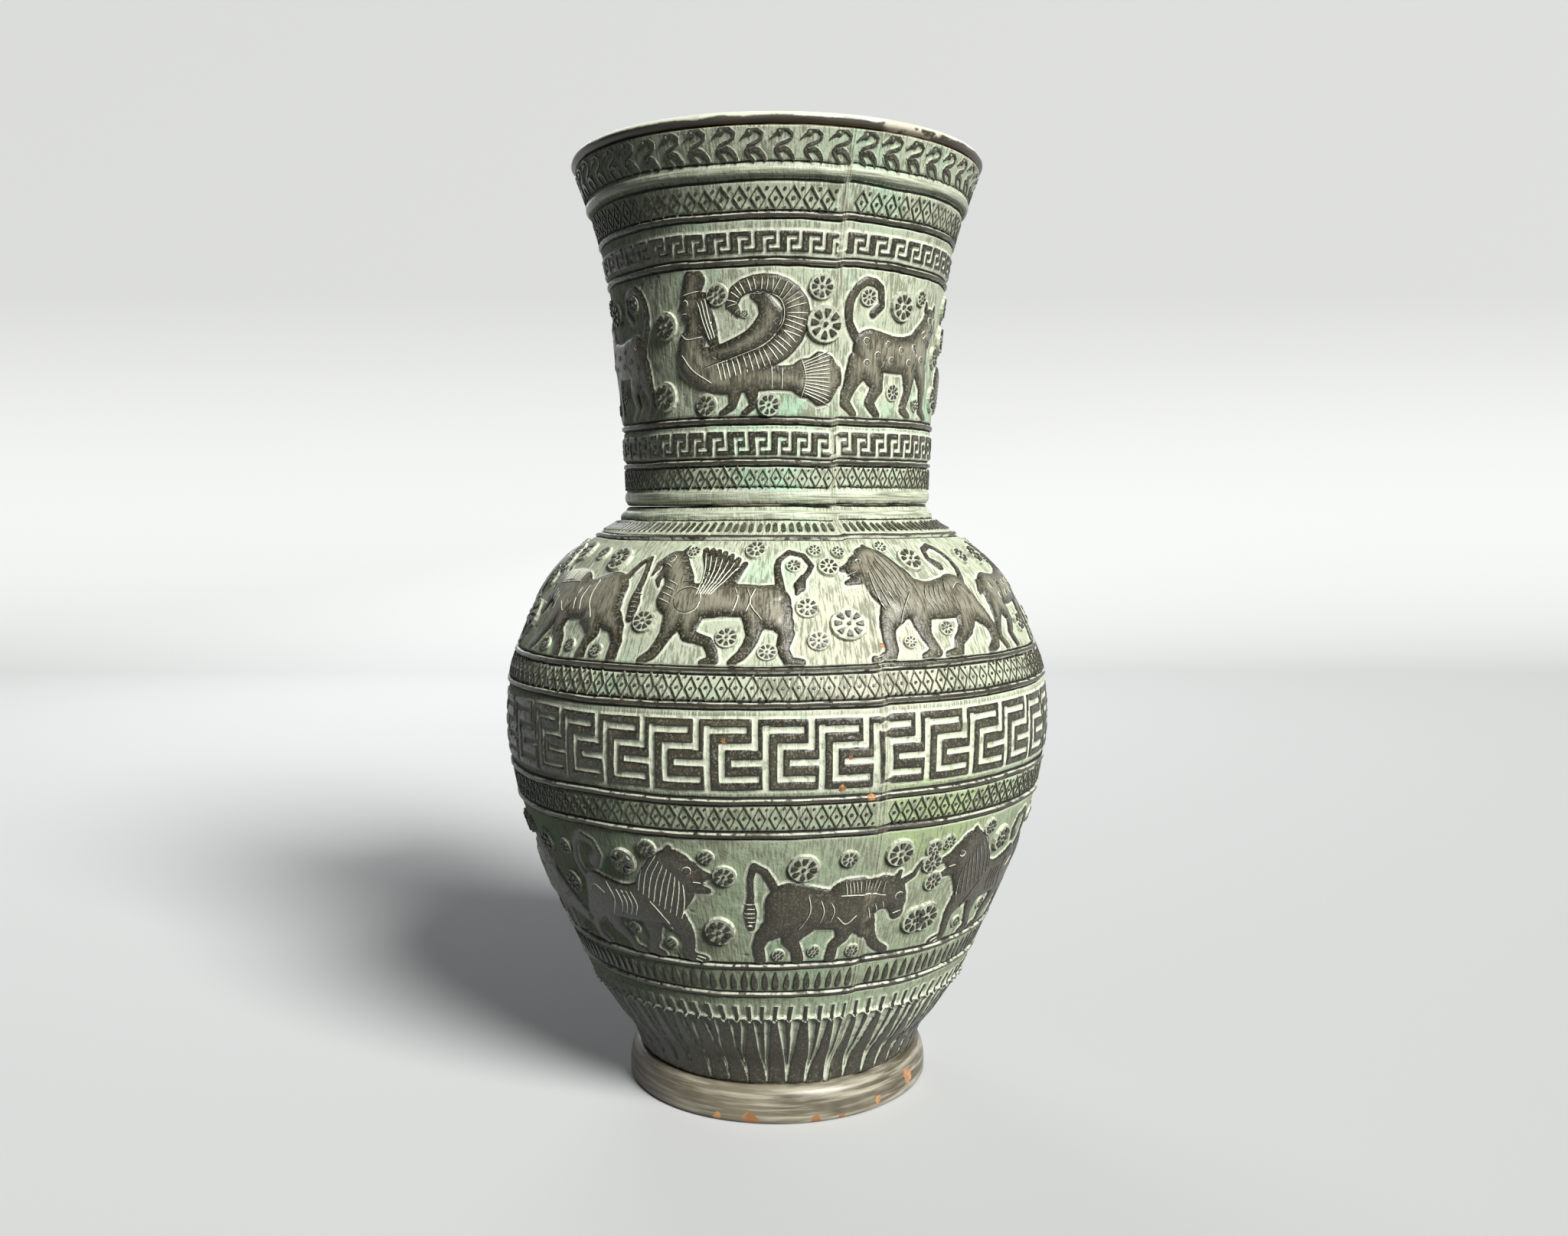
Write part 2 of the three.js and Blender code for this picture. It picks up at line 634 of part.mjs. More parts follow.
// The finishes
const clay = () => new THREE.MeshStandardMaterial({ color: 0x4f5547, roughness: 0.62, metalness: 0.15 });
const bronzed = () => new THREE.MeshStandardMaterial({ color: 0x4a4238, roughness: 0.45, metalness: 0.3 });
const bareClay = () => new THREE.MeshStandardMaterial({ color: 0xb9784c, roughness: 0.9, metalness: 0 });
const driedSlip = () => new THREE.MeshStandardMaterial({ color: 0x9a8a70, roughness: 0.9, metalness: 0 });

const vase = new THREE.Group();
function add(name, geometry, material) {
  const mesh = new THREE.Mesh(geometry, material);
  mesh.name = name;
  geometry.computeVertexNormals();
  vase.add(mesh);
}

add("foot_ring", sweep(footSection(), CIRCLE, true), bronzed());
const footBed = bed(ANKLE_RADIUS, FOOT_HOLE_RADIUS, LEVEL.footTop, LEVEL.bodyBottom);
add("foot_slip", sweep(footBed, CIRCLE, true), driedSlip());
add("floor_disc", disc(floorSection(), CIRCLE), bareClay());
const floorSlip = bed(
  ANKLE_RADIUS - BODY_WALL - JOINT_GAP,
  FLOOR_RADIUS + JOINT_GAP,
  LEVEL.bodyBottom,
  LEVEL.floorTop,
);
add("floor_slip", sweep(floorSlip, CIRCLE, true), driedSlip());

const body = bodySection();
add("body_front", sweep(body, FRONT_ARC), clay());
add("body_back", sweep(body, BACK_ARC), clay());
add("body_seam_right", sweep(body, RIGHT_ARC), driedSlip());
add("body_seam_left", sweep(body, LEFT_ARC), driedSlip());

const collarBed = bed(COLLAR_RADIUS, spigotClear(COLLAR_RADIUS), LEVEL.bodyTop, LEVEL.neckBottom);
add("collar_slip", sweep(collarBed, CIRCLE, true), driedSlip());

const neck = neckSection();
add("neck_front", sweep(neck, FRONT_ARC), clay());
add("neck_back", sweep(neck, BACK_ARC), clay());
add("neck_seam_right", sweep(neck, RIGHT_ARC), driedSlip());
add("neck_seam_left", sweep(neck, LEFT_ARC), driedSlip());

const lipBed = bed(MOUTH_RADIUS, spigotClear(MOUTH_RADIUS), LEVEL.neckTop, LEVEL.lipBottom);
add("lip_slip", sweep(lipBed, CIRCLE, true), driedSlip());
add("lip_ring", sweep(lipSection(), CIRCLE, true), bronzed());

export default vase;
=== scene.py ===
"""Dresses a carved terracotta vase around its solids: the wall and its carved bands, the turned lip and foot,
and the beds of slip between them. Azimuths are degrees round from the front, towards the right. Figures and
bands are laid out flat in millimetres, along the wall and up its line, and a node tree bends them round."""

import json
import math

import bpy
import numpy as np
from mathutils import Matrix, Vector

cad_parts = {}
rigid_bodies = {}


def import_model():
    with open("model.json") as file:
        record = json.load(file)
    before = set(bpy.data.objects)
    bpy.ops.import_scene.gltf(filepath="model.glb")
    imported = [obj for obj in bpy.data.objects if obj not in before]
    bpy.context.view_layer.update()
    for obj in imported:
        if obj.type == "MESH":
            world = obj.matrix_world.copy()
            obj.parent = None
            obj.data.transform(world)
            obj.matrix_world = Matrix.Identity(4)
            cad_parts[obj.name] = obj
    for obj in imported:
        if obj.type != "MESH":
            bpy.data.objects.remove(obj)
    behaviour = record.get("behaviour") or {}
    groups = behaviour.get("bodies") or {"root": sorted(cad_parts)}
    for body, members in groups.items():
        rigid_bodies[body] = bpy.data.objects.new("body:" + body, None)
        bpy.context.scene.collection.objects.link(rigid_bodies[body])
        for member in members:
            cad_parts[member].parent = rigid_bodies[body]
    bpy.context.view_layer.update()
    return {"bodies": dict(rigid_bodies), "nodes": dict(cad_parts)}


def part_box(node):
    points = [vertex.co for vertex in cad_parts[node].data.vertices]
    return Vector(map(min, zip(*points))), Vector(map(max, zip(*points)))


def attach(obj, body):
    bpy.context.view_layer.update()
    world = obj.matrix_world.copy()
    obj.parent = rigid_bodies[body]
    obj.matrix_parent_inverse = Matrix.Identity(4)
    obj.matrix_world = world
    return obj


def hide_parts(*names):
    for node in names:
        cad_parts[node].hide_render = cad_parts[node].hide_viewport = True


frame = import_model()

bl_info = {
    "name": "Carved Terracotta Vase",
    "version": (1, 0, 0),
    "blender": (4, 5, 0),
    "location": "3D View > Sidebar > Vase",
    "description": "Carves, turns and finishes a terracotta vase in Greek style around its solids",
    "category": "Add Mesh",
}

MM = 0.001
TURN = 360.0  # degrees
FAR = 9.0  # mm, a distance past every carved edge
THREAD_REACH = 4.0  # mm either way from the middle of a fillet, as far as its finish goes

# The wall's line in mm, as (radius, height): the stations that the solids are turned to
WALL_LINE = (
    (46.2, 11.6), (49.0, 18.9), (55.2, 27.5), (62.9, 40.5), (71.5, 59.9), (80.2, 83.0), (86.4, 102.6),
    (88.6, 120.4), (87.9, 135.9), (82.9, 150.0), (73.4, 167.0), (58.6, 181.3), (52.6, 185.0), (49.6, 190.0),
    (50.1, 205.4), (51.7, 234.9), (54.4, 259.5), (58.4, 277.0), (61.6, 286.5), (65.1, 296.0),
)
SEAMS = (20.0, 200.0)  # azimuths of the two seams of slip
SEAM_WIDTH = 0.8  # degrees


def smoothstep(low, high, value):
    """0 below low, 1 above high, and smooth between"""
    t = np.clip((value - low) / (high - low), 0, 1)
    return t * t * (3 - 2 * t)


def signed(azimuth):
    """The same azimuth, counted from -180 to 180 degrees"""
    return (azimuth + TURN / 2) % TURN - TURN / 2


class Wall:
    """The wall's line, in mm: its radius, and the length along it, at each height"""

    def __init__(self, stations, step=0.1):
        radius, height = np.array(stations, float).T
        rise = np.diff(height)
        chord = np.diff(radius) / rise
        between = [0 if a * b <= 0 else 2 * a * b / (a + b) for a, b in zip(chord, chord[1:])]
        slope = np.array([chord[0], *between, chord[-1]])
        self.heights = np.arange(height[0], height[-1] + step / 2, step)
        i = np.clip(np.searchsorted(height, self.heights, side="right") - 1, 0, len(rise) - 1)
        t = (self.heights - height[i]) / rise[i]
        t2, t3 = t**2, t**3
        self.radii = (
            radius[i] * (2 * t3 - 3 * t2 + 1)
            + slope[i] * rise[i] * (t3 - 2 * t2 + t)
            + radius[i + 1] * (3 * t2 - 2 * t3)
            + slope[i + 1] * rise[i] * (t3 - t2)
        )
        steps = np.hypot(np.diff(self.heights), np.diff(self.radii))
        self.lengths = np.concatenate([[0], np.cumsum(steps)])

    def along(self, height):
        """The length up the wall at a height"""
        return np.interp(height, self.heights, self.lengths)

    def radius(self, height):
        """The radius at a height"""
        return np.interp(height, self.heights, self.radii)


WALL = Wall(WALL_LINE)


class Section:
    """A stretch of the wall that is made as one front and one back piece. leans are how far its bands climb
    towards the right at its foot and its head, in mm, because they were turned by hand."""

    def __init__(self, low, high, leans, pitch):
        self.low, self.high, self.leans, self.pitch = low, high, leans, pitch
        self.foot, self.head = float(WALL.along(low)), float(WALL.along(high))
        self.radius = float(WALL.radius((low + high) / 2))

    def lean(self, along):
        """The lean at a length up the wall"""
        return float(np.interp(along, (self.foot, self.head), self.leans))


BODY_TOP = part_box("collar_slip")[0].z / MM
NECK_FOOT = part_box("neck_front")[0].z / MM
WALL_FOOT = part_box("body_front")[0].z / MM
NECK_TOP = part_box("lip_slip")[0].z / MM
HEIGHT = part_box("lip_ring")[1].z / MM
SECTIONS = {
    "body_rays": Section(WALL_FOOT, 57.1, (0, 1.1), 0.44),
    "body_lower_frieze": Section(57.1, 99.3, (1.1, 1.3), 0.42),
    "body_key": Section(99.3, 145.0, (1.3, 0.8), 0.46),
    "body_upper_frieze": Section(145.0, BODY_TOP, (0.8, 0.2), 0.43),
    "neck_frieze": Section(NECK_FOOT, 260.5, (0.2, 0.3), 0.43),
    "neck_mouth": Section(260.5, NECK_TOP, (0.3, 0), 0.45),
}


# Random numbers on a square lattice, the same on each run, for smooth noise round the wall
LATTICE_SIZE = 1024
LATTICE = np.random.default_rng(7).uniform(-1, 1, (LATTICE_SIZE, LATTICE_SIZE))
MEAN_RADIUS = 70  # mm, about the wall's


def noise(azimuth, along, scale, seed=0):
    """Smooth noise from -1 to 1 with bumps scale mm wide, which closes on itself round the wall. Each seed
    reads another part of the lattice."""
    columns = max(int(2 * math.pi * MEAN_RADIUS / scale), 3)
    x = azimuth / TURN * columns
    y = along / scale + 37 * seed
    column, row = np.floor(x).astype(int), np.floor(y).astype(int)
    fx, fy = smoothstep(0, 1, x - column), smoothstep(0, 1, y - row)

    def pick(across, up):
        return LATTICE[(row + up) % LATTICE_SIZE, ((column + across) % columns + 101 * seed) % LATTICE_SIZE]

    low = pick(0, 0) * (1 - fx) + pick(1, 0) * fx
    high = pick(0, 1) * (1 - fx) + pick(1, 1) * fx
    return low * (1 - fy) + high * fy


def curve_through(points, step):
    """Points about step apart on a smooth curve through the given ones. Each may carry a radius as well."""
    p = np.array(points, float)
    if len(p) < 3:
        count = max(int(np.hypot(*(p[-1] - p[0])[:2]) / step), 1)
        return p[0] + (p[-1] - p[0]) * np.linspace(0, 1, count + 1)[:, None]
    ends = np.vstack([2 * p[0] - p[1], p, 2 * p[-1] - p[-2]])
    out = []
    for a, b, c, d in zip(ends, ends[1:], ends[2:], ends[3:]):
        count = max(int(np.hypot(*(c - b)[:2]) / step), 1)
        t = (np.arange(count) / count)[:, None]
        square, cube = 2 * a - 5 * b + 4 * c - d, 3 * b - a - 3 * c + d
        out.append(0.5 * (2 * b + (c - a) * t + square * t**2 + cube * t**3))
    return np.vstack([*out, p[-1:]])


# Lines that are cut into the figures. Each function gives a list of lines, each a list of points in mm.
def line(*points):
    """One line"""
    return [list(points)]


def fan(first, last, count):
    """Lines that change evenly from the first to the last"""
    a, b = np.array(first, float), np.array(last, float)
    return [(a + (b - a) * t).tolist() for t in np.linspace(0, 1, count)]


def rungs(path, count, half):
    """Short lines across a path"""
    p = curve_through(path, 0.5)
    out = []
    for i in np.linspace(1, len(p) - 2, count).astype(int):
        tangent = p[i + 1] - p[i - 1]
        side = np.array([-tangent[1], tangent[0]]) / np.hypot(*tangent) * half
        out.append([(p[i] - side).tolist(), (p[i] + side).tolist()])
    return out


def ring(x, y, radius):
    """A small circle"""
    turns = np.linspace(0, 2 * math.pi, 9)
    return [[(x + radius * math.cos(t), y + radius * math.sin(t)) for t in turns]]


def rings(radius, *centres):
    """Small circles at several places"""
    return [circle for x, y in centres for circle in ring(x, y, radius)]


# The figures of the friezes in mm, with the ground line at 0. A limb is a chain of (x, y, radius), a mark is
# a cut line, and a rosette is (x, y, radius) in the field beside the figure.
LION = {
    "limbs": [
        [(-18, 20.5, 7.2), (-7, 19.5, 6.4), (3, 21.5, 7.8)],
        [(-19, 22, 6.3), (-21, 17.5, 6)],
        [(5, 25, 8.6), (9, 31, 8), (10, 34, 6)],
        [(11, 34, 5.4), (16, 31.5, 3.4)],
        [(16, 32.5, 2.3), (20.3, 31.5, 1.1)],
        [(14.5, 28, 2.3), (19.3, 26.6, 1)],
        [(8.5, 38, 1.8), (9.5, 40.3, 0.9)],
        [(6, 18, 5), (10.5, 11.5, 2.6), (10.2, 5, 2), (11, 2.8, 1.9), (15.3, 2.3, 1.4)],
        [(-1, 16, 4.5), (-1, 9, 2.2), (-3.2, 3.5, 1.8), (0.5, 2.3, 1.3)],
        [(-18, 16, 5.3), (-16, 10, 2.9), (-11.8, 6.2, 1.9), (-10.8, 2.8, 1.7), (-7, 2.3, 1.3)],
        [(-23, 16, 4.8), (-28, 10, 2.5), (-27.5, 4, 1.8), (-24, 2.3, 1.4)],
        [
            (-24, 25, 1.6), (-26.5, 30, 1.3), (-25, 36.5, 1.2), (-20.5, 40, 1.2), (-16.5, 38.3, 1.2),
            (-15.4, 34.5, 1.2), (-18, 31.6, 2)
        ],
    ],
    "marks": [
        *fan([(4.5, 39), (0, 33), (-2.5, 25)], [(12.5, 29), (12, 23), (10, 16.5)], 9),
        *fan([(-11, 24), (-9.6, 20), (-11, 16)], [(-5.5, 24), (-4, 20), (-5.5, 16)], 4),
        *line((-14.5, 26), (-12.5, 20.5), (-15.5, 14)),
        *line((-23.5, 20), (-20, 24), (-16, 22)),
        *line((1, 22), (4.5, 17), (6.5, 12)),
        *ring(14.2, 33.6, 1.1),
        *line((15.5, 29.8), (19, 28.8)),
        *fan([(13, 3.4), (15.6, 2.6)], [(12.4, 2.4), (14.4, 1.4)], 2),
    ],
    "rosettes": [
        (-6, 34, 4.2), (3, 39.6, 2.6), (19.8, 38, 2.2), (24.4, 32, 3.2), (21.5, 13, 4.5), (-8.4, 10.4, 2.2),
        (4.6, 7, 1.9)
    ],
}
BULL = {
    "limbs": [
        [(-10, 22, 7.8), (0, 20, 6.8), (8, 20.5, 7.6)],
        [(-10.5, 20, 7.4), (-12, 18, 6)],
        [(7, 22.5, 7.4), (13, 23.5, 6.6), (18.5, 24, 5)],
        [(19, 24, 4.6), (21.5, 19.5, 3.4), (22.3, 16.4, 2.5)],
        [(22, 26.5, 1.3), (25.5, 28.5, 1), (27.8, 32.8, 0.4)],
        [(20, 27.5, 1.4), (21, 30.2, 0.7)],
        [(-14.5, 27, 1.4), (-17.5, 33.5, 1.2), (-20.2, 35.5, 1.1), (-21.4, 31, 1), (-21.5, 25, 1.1)],
        [(-21.6, 24, 1.1), (-22, 19.5, 2), (-22, 14.5, 1.3)],
        [(-13, 16, 5), (-18.4, 11.5, 2.6), (-20, 7.5, 1.9), (-19.6, 2.8, 1.9)],
        [(-8, 15, 5), (-10.4, 10, 2.6), (-8.4, 6, 1.8), (-8, 2.8, 2)],
        [(6, 15, 4.4), (6, 10, 2.3), (3.2, 7, 1.8), (2.6, 2.8, 1.9)],
        [(11, 16, 4.4), (14.4, 9.2, 2.3), (17.8, 5, 1.7), (21, 2.8, 1.6)],
    ],
    "marks": [
        *rungs([(4.5, 27), (10.5, 27.6), (16.5, 26.6)], 11, 2.1),
        *line((3.6, 25), (10, 24.6), (17, 23.8)),
        *fan([(16.2, 22), (17.4, 18.5)], [(12.4, 20), (13.6, 15.5)], 3),
        *rungs([(-22, 23), (-22, 14.5)], 6, 1.5),
        *line((-5.5, 26), (-5, 20), (-8, 14)),
        *line((3, 18), (6, 15), (9, 18)),
        *fan([(-2, 24), (-1, 20), (-2, 16)], [(1, 23), (2, 20), (1, 16)], 2),
        *ring(21.6, 22.8, 1.1),
        *line((20.8, 16.6), (23.4, 17.2)),
    ],
    "rosettes": [
        (-7, 34.6, 4.2), (5.2, 36.8, 2.6), (19.6, 37.2, 4), (29.6, 12.7, 4.6), (30.6, 36.8, 2.6),
        (33, 25.4, 3.1), (-13.8, 4.6, 1.9), (-2.8, 5.6, 2), (9.6, 4.8, 2.2)
    ],
}
GRIFFIN = {
    "limbs": [
        [(-22.4, 34.6, 4.3), (-20.5, 32.5, 4.2)],
        [(-24.5, 36, 2.2), (-27.8, 33.6, 1.3), (-28.4, 29, 0.5)],
        [(-24, 31.4, 1.8), (-25.4, 27.6, 1), (-24.5, 25, 0.4)],
        [(-20.6, 38, 1.2), (-19.4, 41, 0.5)],
        [(-20.6, 32, 4.3), (-18, 27, 4.9), (-17.4, 21.5, 6.2)],
        [(-15, 20, 6.4), (-4, 21, 5.6), (6, 20.5, 5.4), (10, 20, 6)],
        [(9.5, 19.5, 6.4), (11, 17, 5.4)],
        *[
            [(-11, 20, 1.6), (-9 + 1.1 * k, 28 - 0.5 * k, 1.5), (-13 + 2.5 * k, 39.3 - 0.16 * k * k, 1.1)]
            for k in range(7)
        ],
        [
            (13, 24, 1.5), (12.2, 30, 1.3), (12.6, 35, 1.1), (16, 38.4, 1.1), (20.6, 37, 1.1), (23, 33, 1),
            (20.4, 28.4, 1)
        ],
        [(20, 28.4, 1.2), (18.6, 25.4, 2), (17.4, 22.8, 0.5)],
        [(12, 16, 4.5), (14.6, 11, 2.3), (13.4, 6.5, 1.7), (15, 2.6, 1.5), (18, 2.3, 1.2)],
        [(6, 16, 4), (5.8, 10, 2), (3, 4.5, 1.6), (0.4, 2.3, 1.2)],
        [(-16, 17, 4.4), (-18, 10, 2.2), (-21, 4, 1.7), (-24, 2.3, 1.3)],
        [(-12, 16, 4.4), (-11.6, 10, 2.2), (-6.2, 8.2, 1.7), (-4.2, 3, 1.5), (-6.8, 2.2, 1.1)],
    ],
    "marks": [
        *fan([(-11, 22), (-10.5, 30), (-12, 37)], [(-7, 22), (-2.5, 28.5), (0.6, 33)], 7),
        *ring(-13.4, 20.4, 4.1),
        *ring(-23, 34.8, 1.1),
        *line((-26.8, 29.4), (-25, 32.8), (-21.6, 31.2)),
        *rungs([(-19, 36), (-16.4, 31), (-14.6, 26)], 5, 1.3),
        *fan([(-21.5, 27), (-17.5, 25)], [(-22.8, 21), (-18.4, 19)], 4),
        *fan([(0, 24.5), (1, 21), (0, 17)], [(3.6, 24), (4.6, 20.6), (3.6, 17)], 2),
        *line((6, 24.5), (4.6, 19.5), (8, 14.4)),
    ],
    "rosettes": [
        (-16.6, 38, 2.3), (5, 39, 3.2), (24.9, 38.6, 2.3), (17.4, 32.6, 2.3), (-25.4, 14, 3.3),
        (-0.9, 9.6, 3), (9.6, 5.4, 2.3), (20.4, 18.4, 3.1), (22.8, 8.4, 2.9)
    ],
}
SIREN = {
    "limbs": [
        [(-17.2, 37.8, 3.0), (-15.6, 41.4, 3.5)],
        [(-17, 34.6, 3.7), (-17.8, 32.4, 3)],
        [(-20.4, 34, 0.9), (-21.2, 33, 0.5)],
        [(-19.6, 30.8, 1.3), (-18.4, 30.4, 1.4)],
        [(-16.2, 31, 2.5), (-16.4, 27, 3.4)],
        [(-13.4, 36, 2.1), (-12.4, 31, 2.3), (-11, 26, 2.2), (-9.4, 21.6, 1.4)],
        [(-17.4, 23, 4.8), (-17, 18, 5.8), (-10, 13.4, 5.4), (0, 12.8, 4.3), (8.4, 12.6, 3.7)],
        [
            (-13, 14, 1.6), (-3.4, 16, 2.8), (6.6, 19.2, 3.5), (12.6, 25, 3.8), (14.6, 31.2, 3.9),
            (12.6, 36.6, 3.4), (8, 39.4, 2.9), (2.4, 39.8, 2.5), (-2.8, 37.6, 2.2), (-4.6, 34, 1.8),
            (-2.6, 31, 1.1),
        ],
        [(-17.4, 20, 2), (-7.4, 20.4, 2.5), (2.2, 24.2, 3.3), (7, 30.8, 3.4), (5, 34.8, 2.3), (1.8, 36, 0.9)],
        [(8.4, 12.6, 3.7), (15, 12.6, 4.2), (20.6, 12.6, 8)],
        [(-4, 9, 2.4), (-5, 4.5, 1.3), (-8.5, 2.4, 1)],
        [(1, 9, 2.2), (1.5, 4.5, 1.2), (-1.5, 2.3, 1)],
    ],
    "marks": [
        *rungs([(-9, 14.6), (-3.4, 16), (6.6, 19.2), (12.6, 25)], 15, 2.6),
        *rungs([(12.6, 25), (14.6, 31.2), (12.6, 36.6), (8, 39.4)], 11, 3),
        *rungs([(8, 39.4), (2.4, 39.8), (-2.8, 37.6), (-4.6, 34), (-3, 31.4)], 11, 1.9),
        *line(
            (-13.4, 15.8), (-4.3, 18.8), (4.6, 22.3), (9.4, 27), (10.7, 31.2), (9.7, 35), (6.8, 36.7),
            (3, 37.4)
        ),
        *fan([(16.4, 8.4), (24.4, 4.6)], [(16.4, 16.8), (24.4, 20.6)], 13),
        *line((15.8, 6.8), (17, 12.6), (15.8, 18.4)),
        *rungs([(6.6, 12.8), (10.6, 12.8)], 2, 3.4),
        *line((-19.8, 37.2), (-14, 38.2)),
        *fan([(-14.6, 35), (-13.4, 29.6), (-11.4, 24)], [(-12.4, 36), (-11.4, 30.4), (-9.8, 24.6)], 3),
        *ring(-18.6, 35, 0.8),
        *line((-20, 32), (-18.4, 31.9)),
        *line((-20.6, 26), (-18.6, 24.4), (-13.6, 25)),
        *line((-20.6, 20), (-17, 15.4), (-11, 11.4)),
    ],
    "rosettes": [
        (-8.5, 37, 3.2), (-26.6, 29.1, 3.9), (-28.3, 8.2, 4.4), (-13, 5.2, 3.2), (6.4, 5, 3.4),
        (21.5, 39, 3.6), (22.8, 28.4, 5), (-0.6, 31.2, 1.2),
    ],
}
PANTHER = {
    "limbs": [
        [(-14, 21.5, 6.2), (-3, 20.5, 5.6), (8, 22, 6.2)],
        [(8, 24, 5.6), (12.5, 29, 4.6)],
        [(14.4, 31.4, 4.9)],
        [(11.2, 35.8, 1.4), (11, 37.4, 0.8)],
        [(17.6, 35.6, 1.4), (18, 37.2, 0.8)],
        [(9, 18, 4.4), (12, 11.5, 2.4), (11.4, 5, 1.9), (15.4, 2.3, 1.3)],
        [(3, 17, 4.2), (3, 10, 2.2), (0.6, 4.4, 1.7), (4, 2.3, 1.2)],
        [(-14, 17, 5), (-11, 10.5, 2.6), (-13.8, 6, 1.8), (-10.6, 2.3, 1.3)],
        [(-17.5, 17, 4.4), (-20.6, 10.5, 2.3), (-22.4, 5.6, 1.7), (-19.4, 2.3, 1.2)],
        [
            (-18, 23.4, 1.7), (-21.6, 29, 1.5), (-21.2, 36.6, 1.4), (-16.6, 41.2, 1.4), (-11.4, 39.4, 1.3),
            (-10.6, 34.6, 1.3), (-13.6, 32, 1.5),
        ],
    ],
    "marks": [
        *rings(
            0.9, (-16, 24), (-12, 20), (-15.6, 17.6), (-8, 23.4), (-6.6, 18.8), (-2.4, 22), (1.4, 18.6),
            (4, 23.4), (8, 20)
        ),
        *ring(12.8, 32.4, 0.9),
        *ring(16.4, 32.4, 0.9),
        *line((14.6, 31.6), (14.6, 29.4), (13, 28.6)),
        *line((14.6, 29.4), (16.2, 28.6)),
        *rungs([(9, 29), (11, 26), (14.6, 25)], 5, 1.3),
        *line((-9, 25.6), (-8.4, 20.6), (-11, 15.4)),
        *line((3.4, 25), (5.4, 20.4), (3.4, 16)),
    ],
    "rosettes": [
        (-15.8, 36.8, 2.7), (-2.6, 35, 4.2), (6.6, 38.6, 2.6), (-4.6, 9.4, 2.6), (21.8, 22, 3.4),
        (7.6, 6.2, 1.9), (22.4, 9, 3.8)
    ],
}
DEER = {
    "limbs": [
        [(-13, 21.5, 6.2), (-2, 21, 5.4), (8, 22.5, 5.8)],
        [(-14.4, 21, 6.2)],
        [(10, 24, 5), (14.6, 29.6, 3.3), (17.6, 34.4, 2.7)],
        [(18, 35.4, 2.9), (22.6, 33.2, 1.8), (24.6, 32.4, 1.3)],
        [(15.4, 36.6, 1.3), (12.6, 37.6, 0.6)],
        [(17.6, 37.8, 0.9), (16.2, 39.6, 0.8), (11, 40.6, 0.6), (6, 39.8, 0.5)],
        [(11, 40.6, 0.6), (9.4, 38, 0.5)],
        [(19.4, 37.8, 0.8), (22.4, 40.2, 0.6)],
        [(9, 18, 3.8), (12, 11, 2), (11.2, 6, 1.5), (12.2, 2.5, 1.6)],
        [(6, 17, 3.6), (3, 11, 1.9), (4.8, 6, 1.4), (3.4, 2.5, 1.5)],
        [(-14, 17, 4.6), (-11.4, 11, 2.3), (-14.6, 6.6, 1.6), (-12.8, 2.5, 1.6)],
        [(-17, 17, 4.2), (-20, 11, 2.1), (-22, 6, 1.5), (-20, 2.5, 1.5)],
        [(-19.4, 24, 1.6), (-22, 21, 1)],
    ],
    "marks": [
        *fan([(9, 28), (12.4, 25)], [(15, 34), (18.6, 31.8)], 6),
        *rings(0.8, (-15, 22), (-11.4, 18.6), (-8, 22.6), (-4.6, 19), (-1, 22.6), (2.6, 19.4), (5.6, 23)),
        *line((4.8, 25), (6.8, 20.4), (4.8, 16)),
        *line((-9.6, 25), (-8.6, 20.6), (-11, 15.6)),
        *ring(18.8, 35.4, 0.9),
    ],
    "rosettes": [
        (-6, 34.4, 4.2), (4, 32, 2.4), (-18.6, 34.6, 3), (-4.6, 9, 3.2), (19.6, 22, 3.3), (20, 9.6, 3.6),
        (26.4, 25.6, 2.5), (7.8, 5.4, 1.7), (27.4, 39, 2.5)
    ],
}
BOAR = {
    "limbs": [
        [(-12, 18, 8.2), (0, 19.6, 8.8), (9, 18, 8)],
        [(-9, 26, 1.7), (0, 29.6, 2), (10, 27, 1.8)],
        [(13, 16.6, 6), (20.4, 12.2, 3.8), (25, 9.6, 2.5)],
        [(13.4, 22.6, 1.9), (12, 26, 0.9)],
        [(22.6, 11.4, 0.9), (24, 14.6, 0.4)],
        [(9, 12, 3.6), (11, 6.8, 2), (10.4, 2.7, 1.8)],
        [(4, 12, 3.6), (2, 6.8, 2), (3.4, 2.7, 1.7)],
        [(-11, 12, 4.4), (-9, 7.4, 2.2), (-11, 2.7, 1.8)],
        [(-16, 13, 4.2), (-18.8, 7.6, 2.1), (-18, 2.7, 1.7)],
        [(-19.6, 20, 1.2), (-23, 23, 1), (-21, 25.6, 0.8)],
    ],
    "marks": [
        *rungs([(-10, 26.4), (0, 29.8), (11, 27.2)], 15, 1.7),
        *line((-11, 24), (0, 26.6), (10, 24.6)),
        *fan([(-4, 23.4), (-2.6, 18.4), (-4, 13.6)], [(2.6, 23.6), (4, 18.6), (2.6, 13.4)], 4),
        *line((-9.4, 22.6), (-8, 17.6), (-11, 12.6)),
        *line((8, 22.6), (10.4, 17.6), (8.6, 12.6)),
        *ring(17.4, 16, 1),
        *line((25.6, 8), (26.4, 10.4)),
    ],
    "rosettes": [
        (-12, 34.4, 4), (1, 36.4, 2.8), (14, 34, 4.2), (24.4, 22, 3.6), (-24, 13.6, 2.4), (-4, 6.6, 2.3),
        (20.4, 4.4, 1.9), (26, 34.4, 2.9)
    ],
}

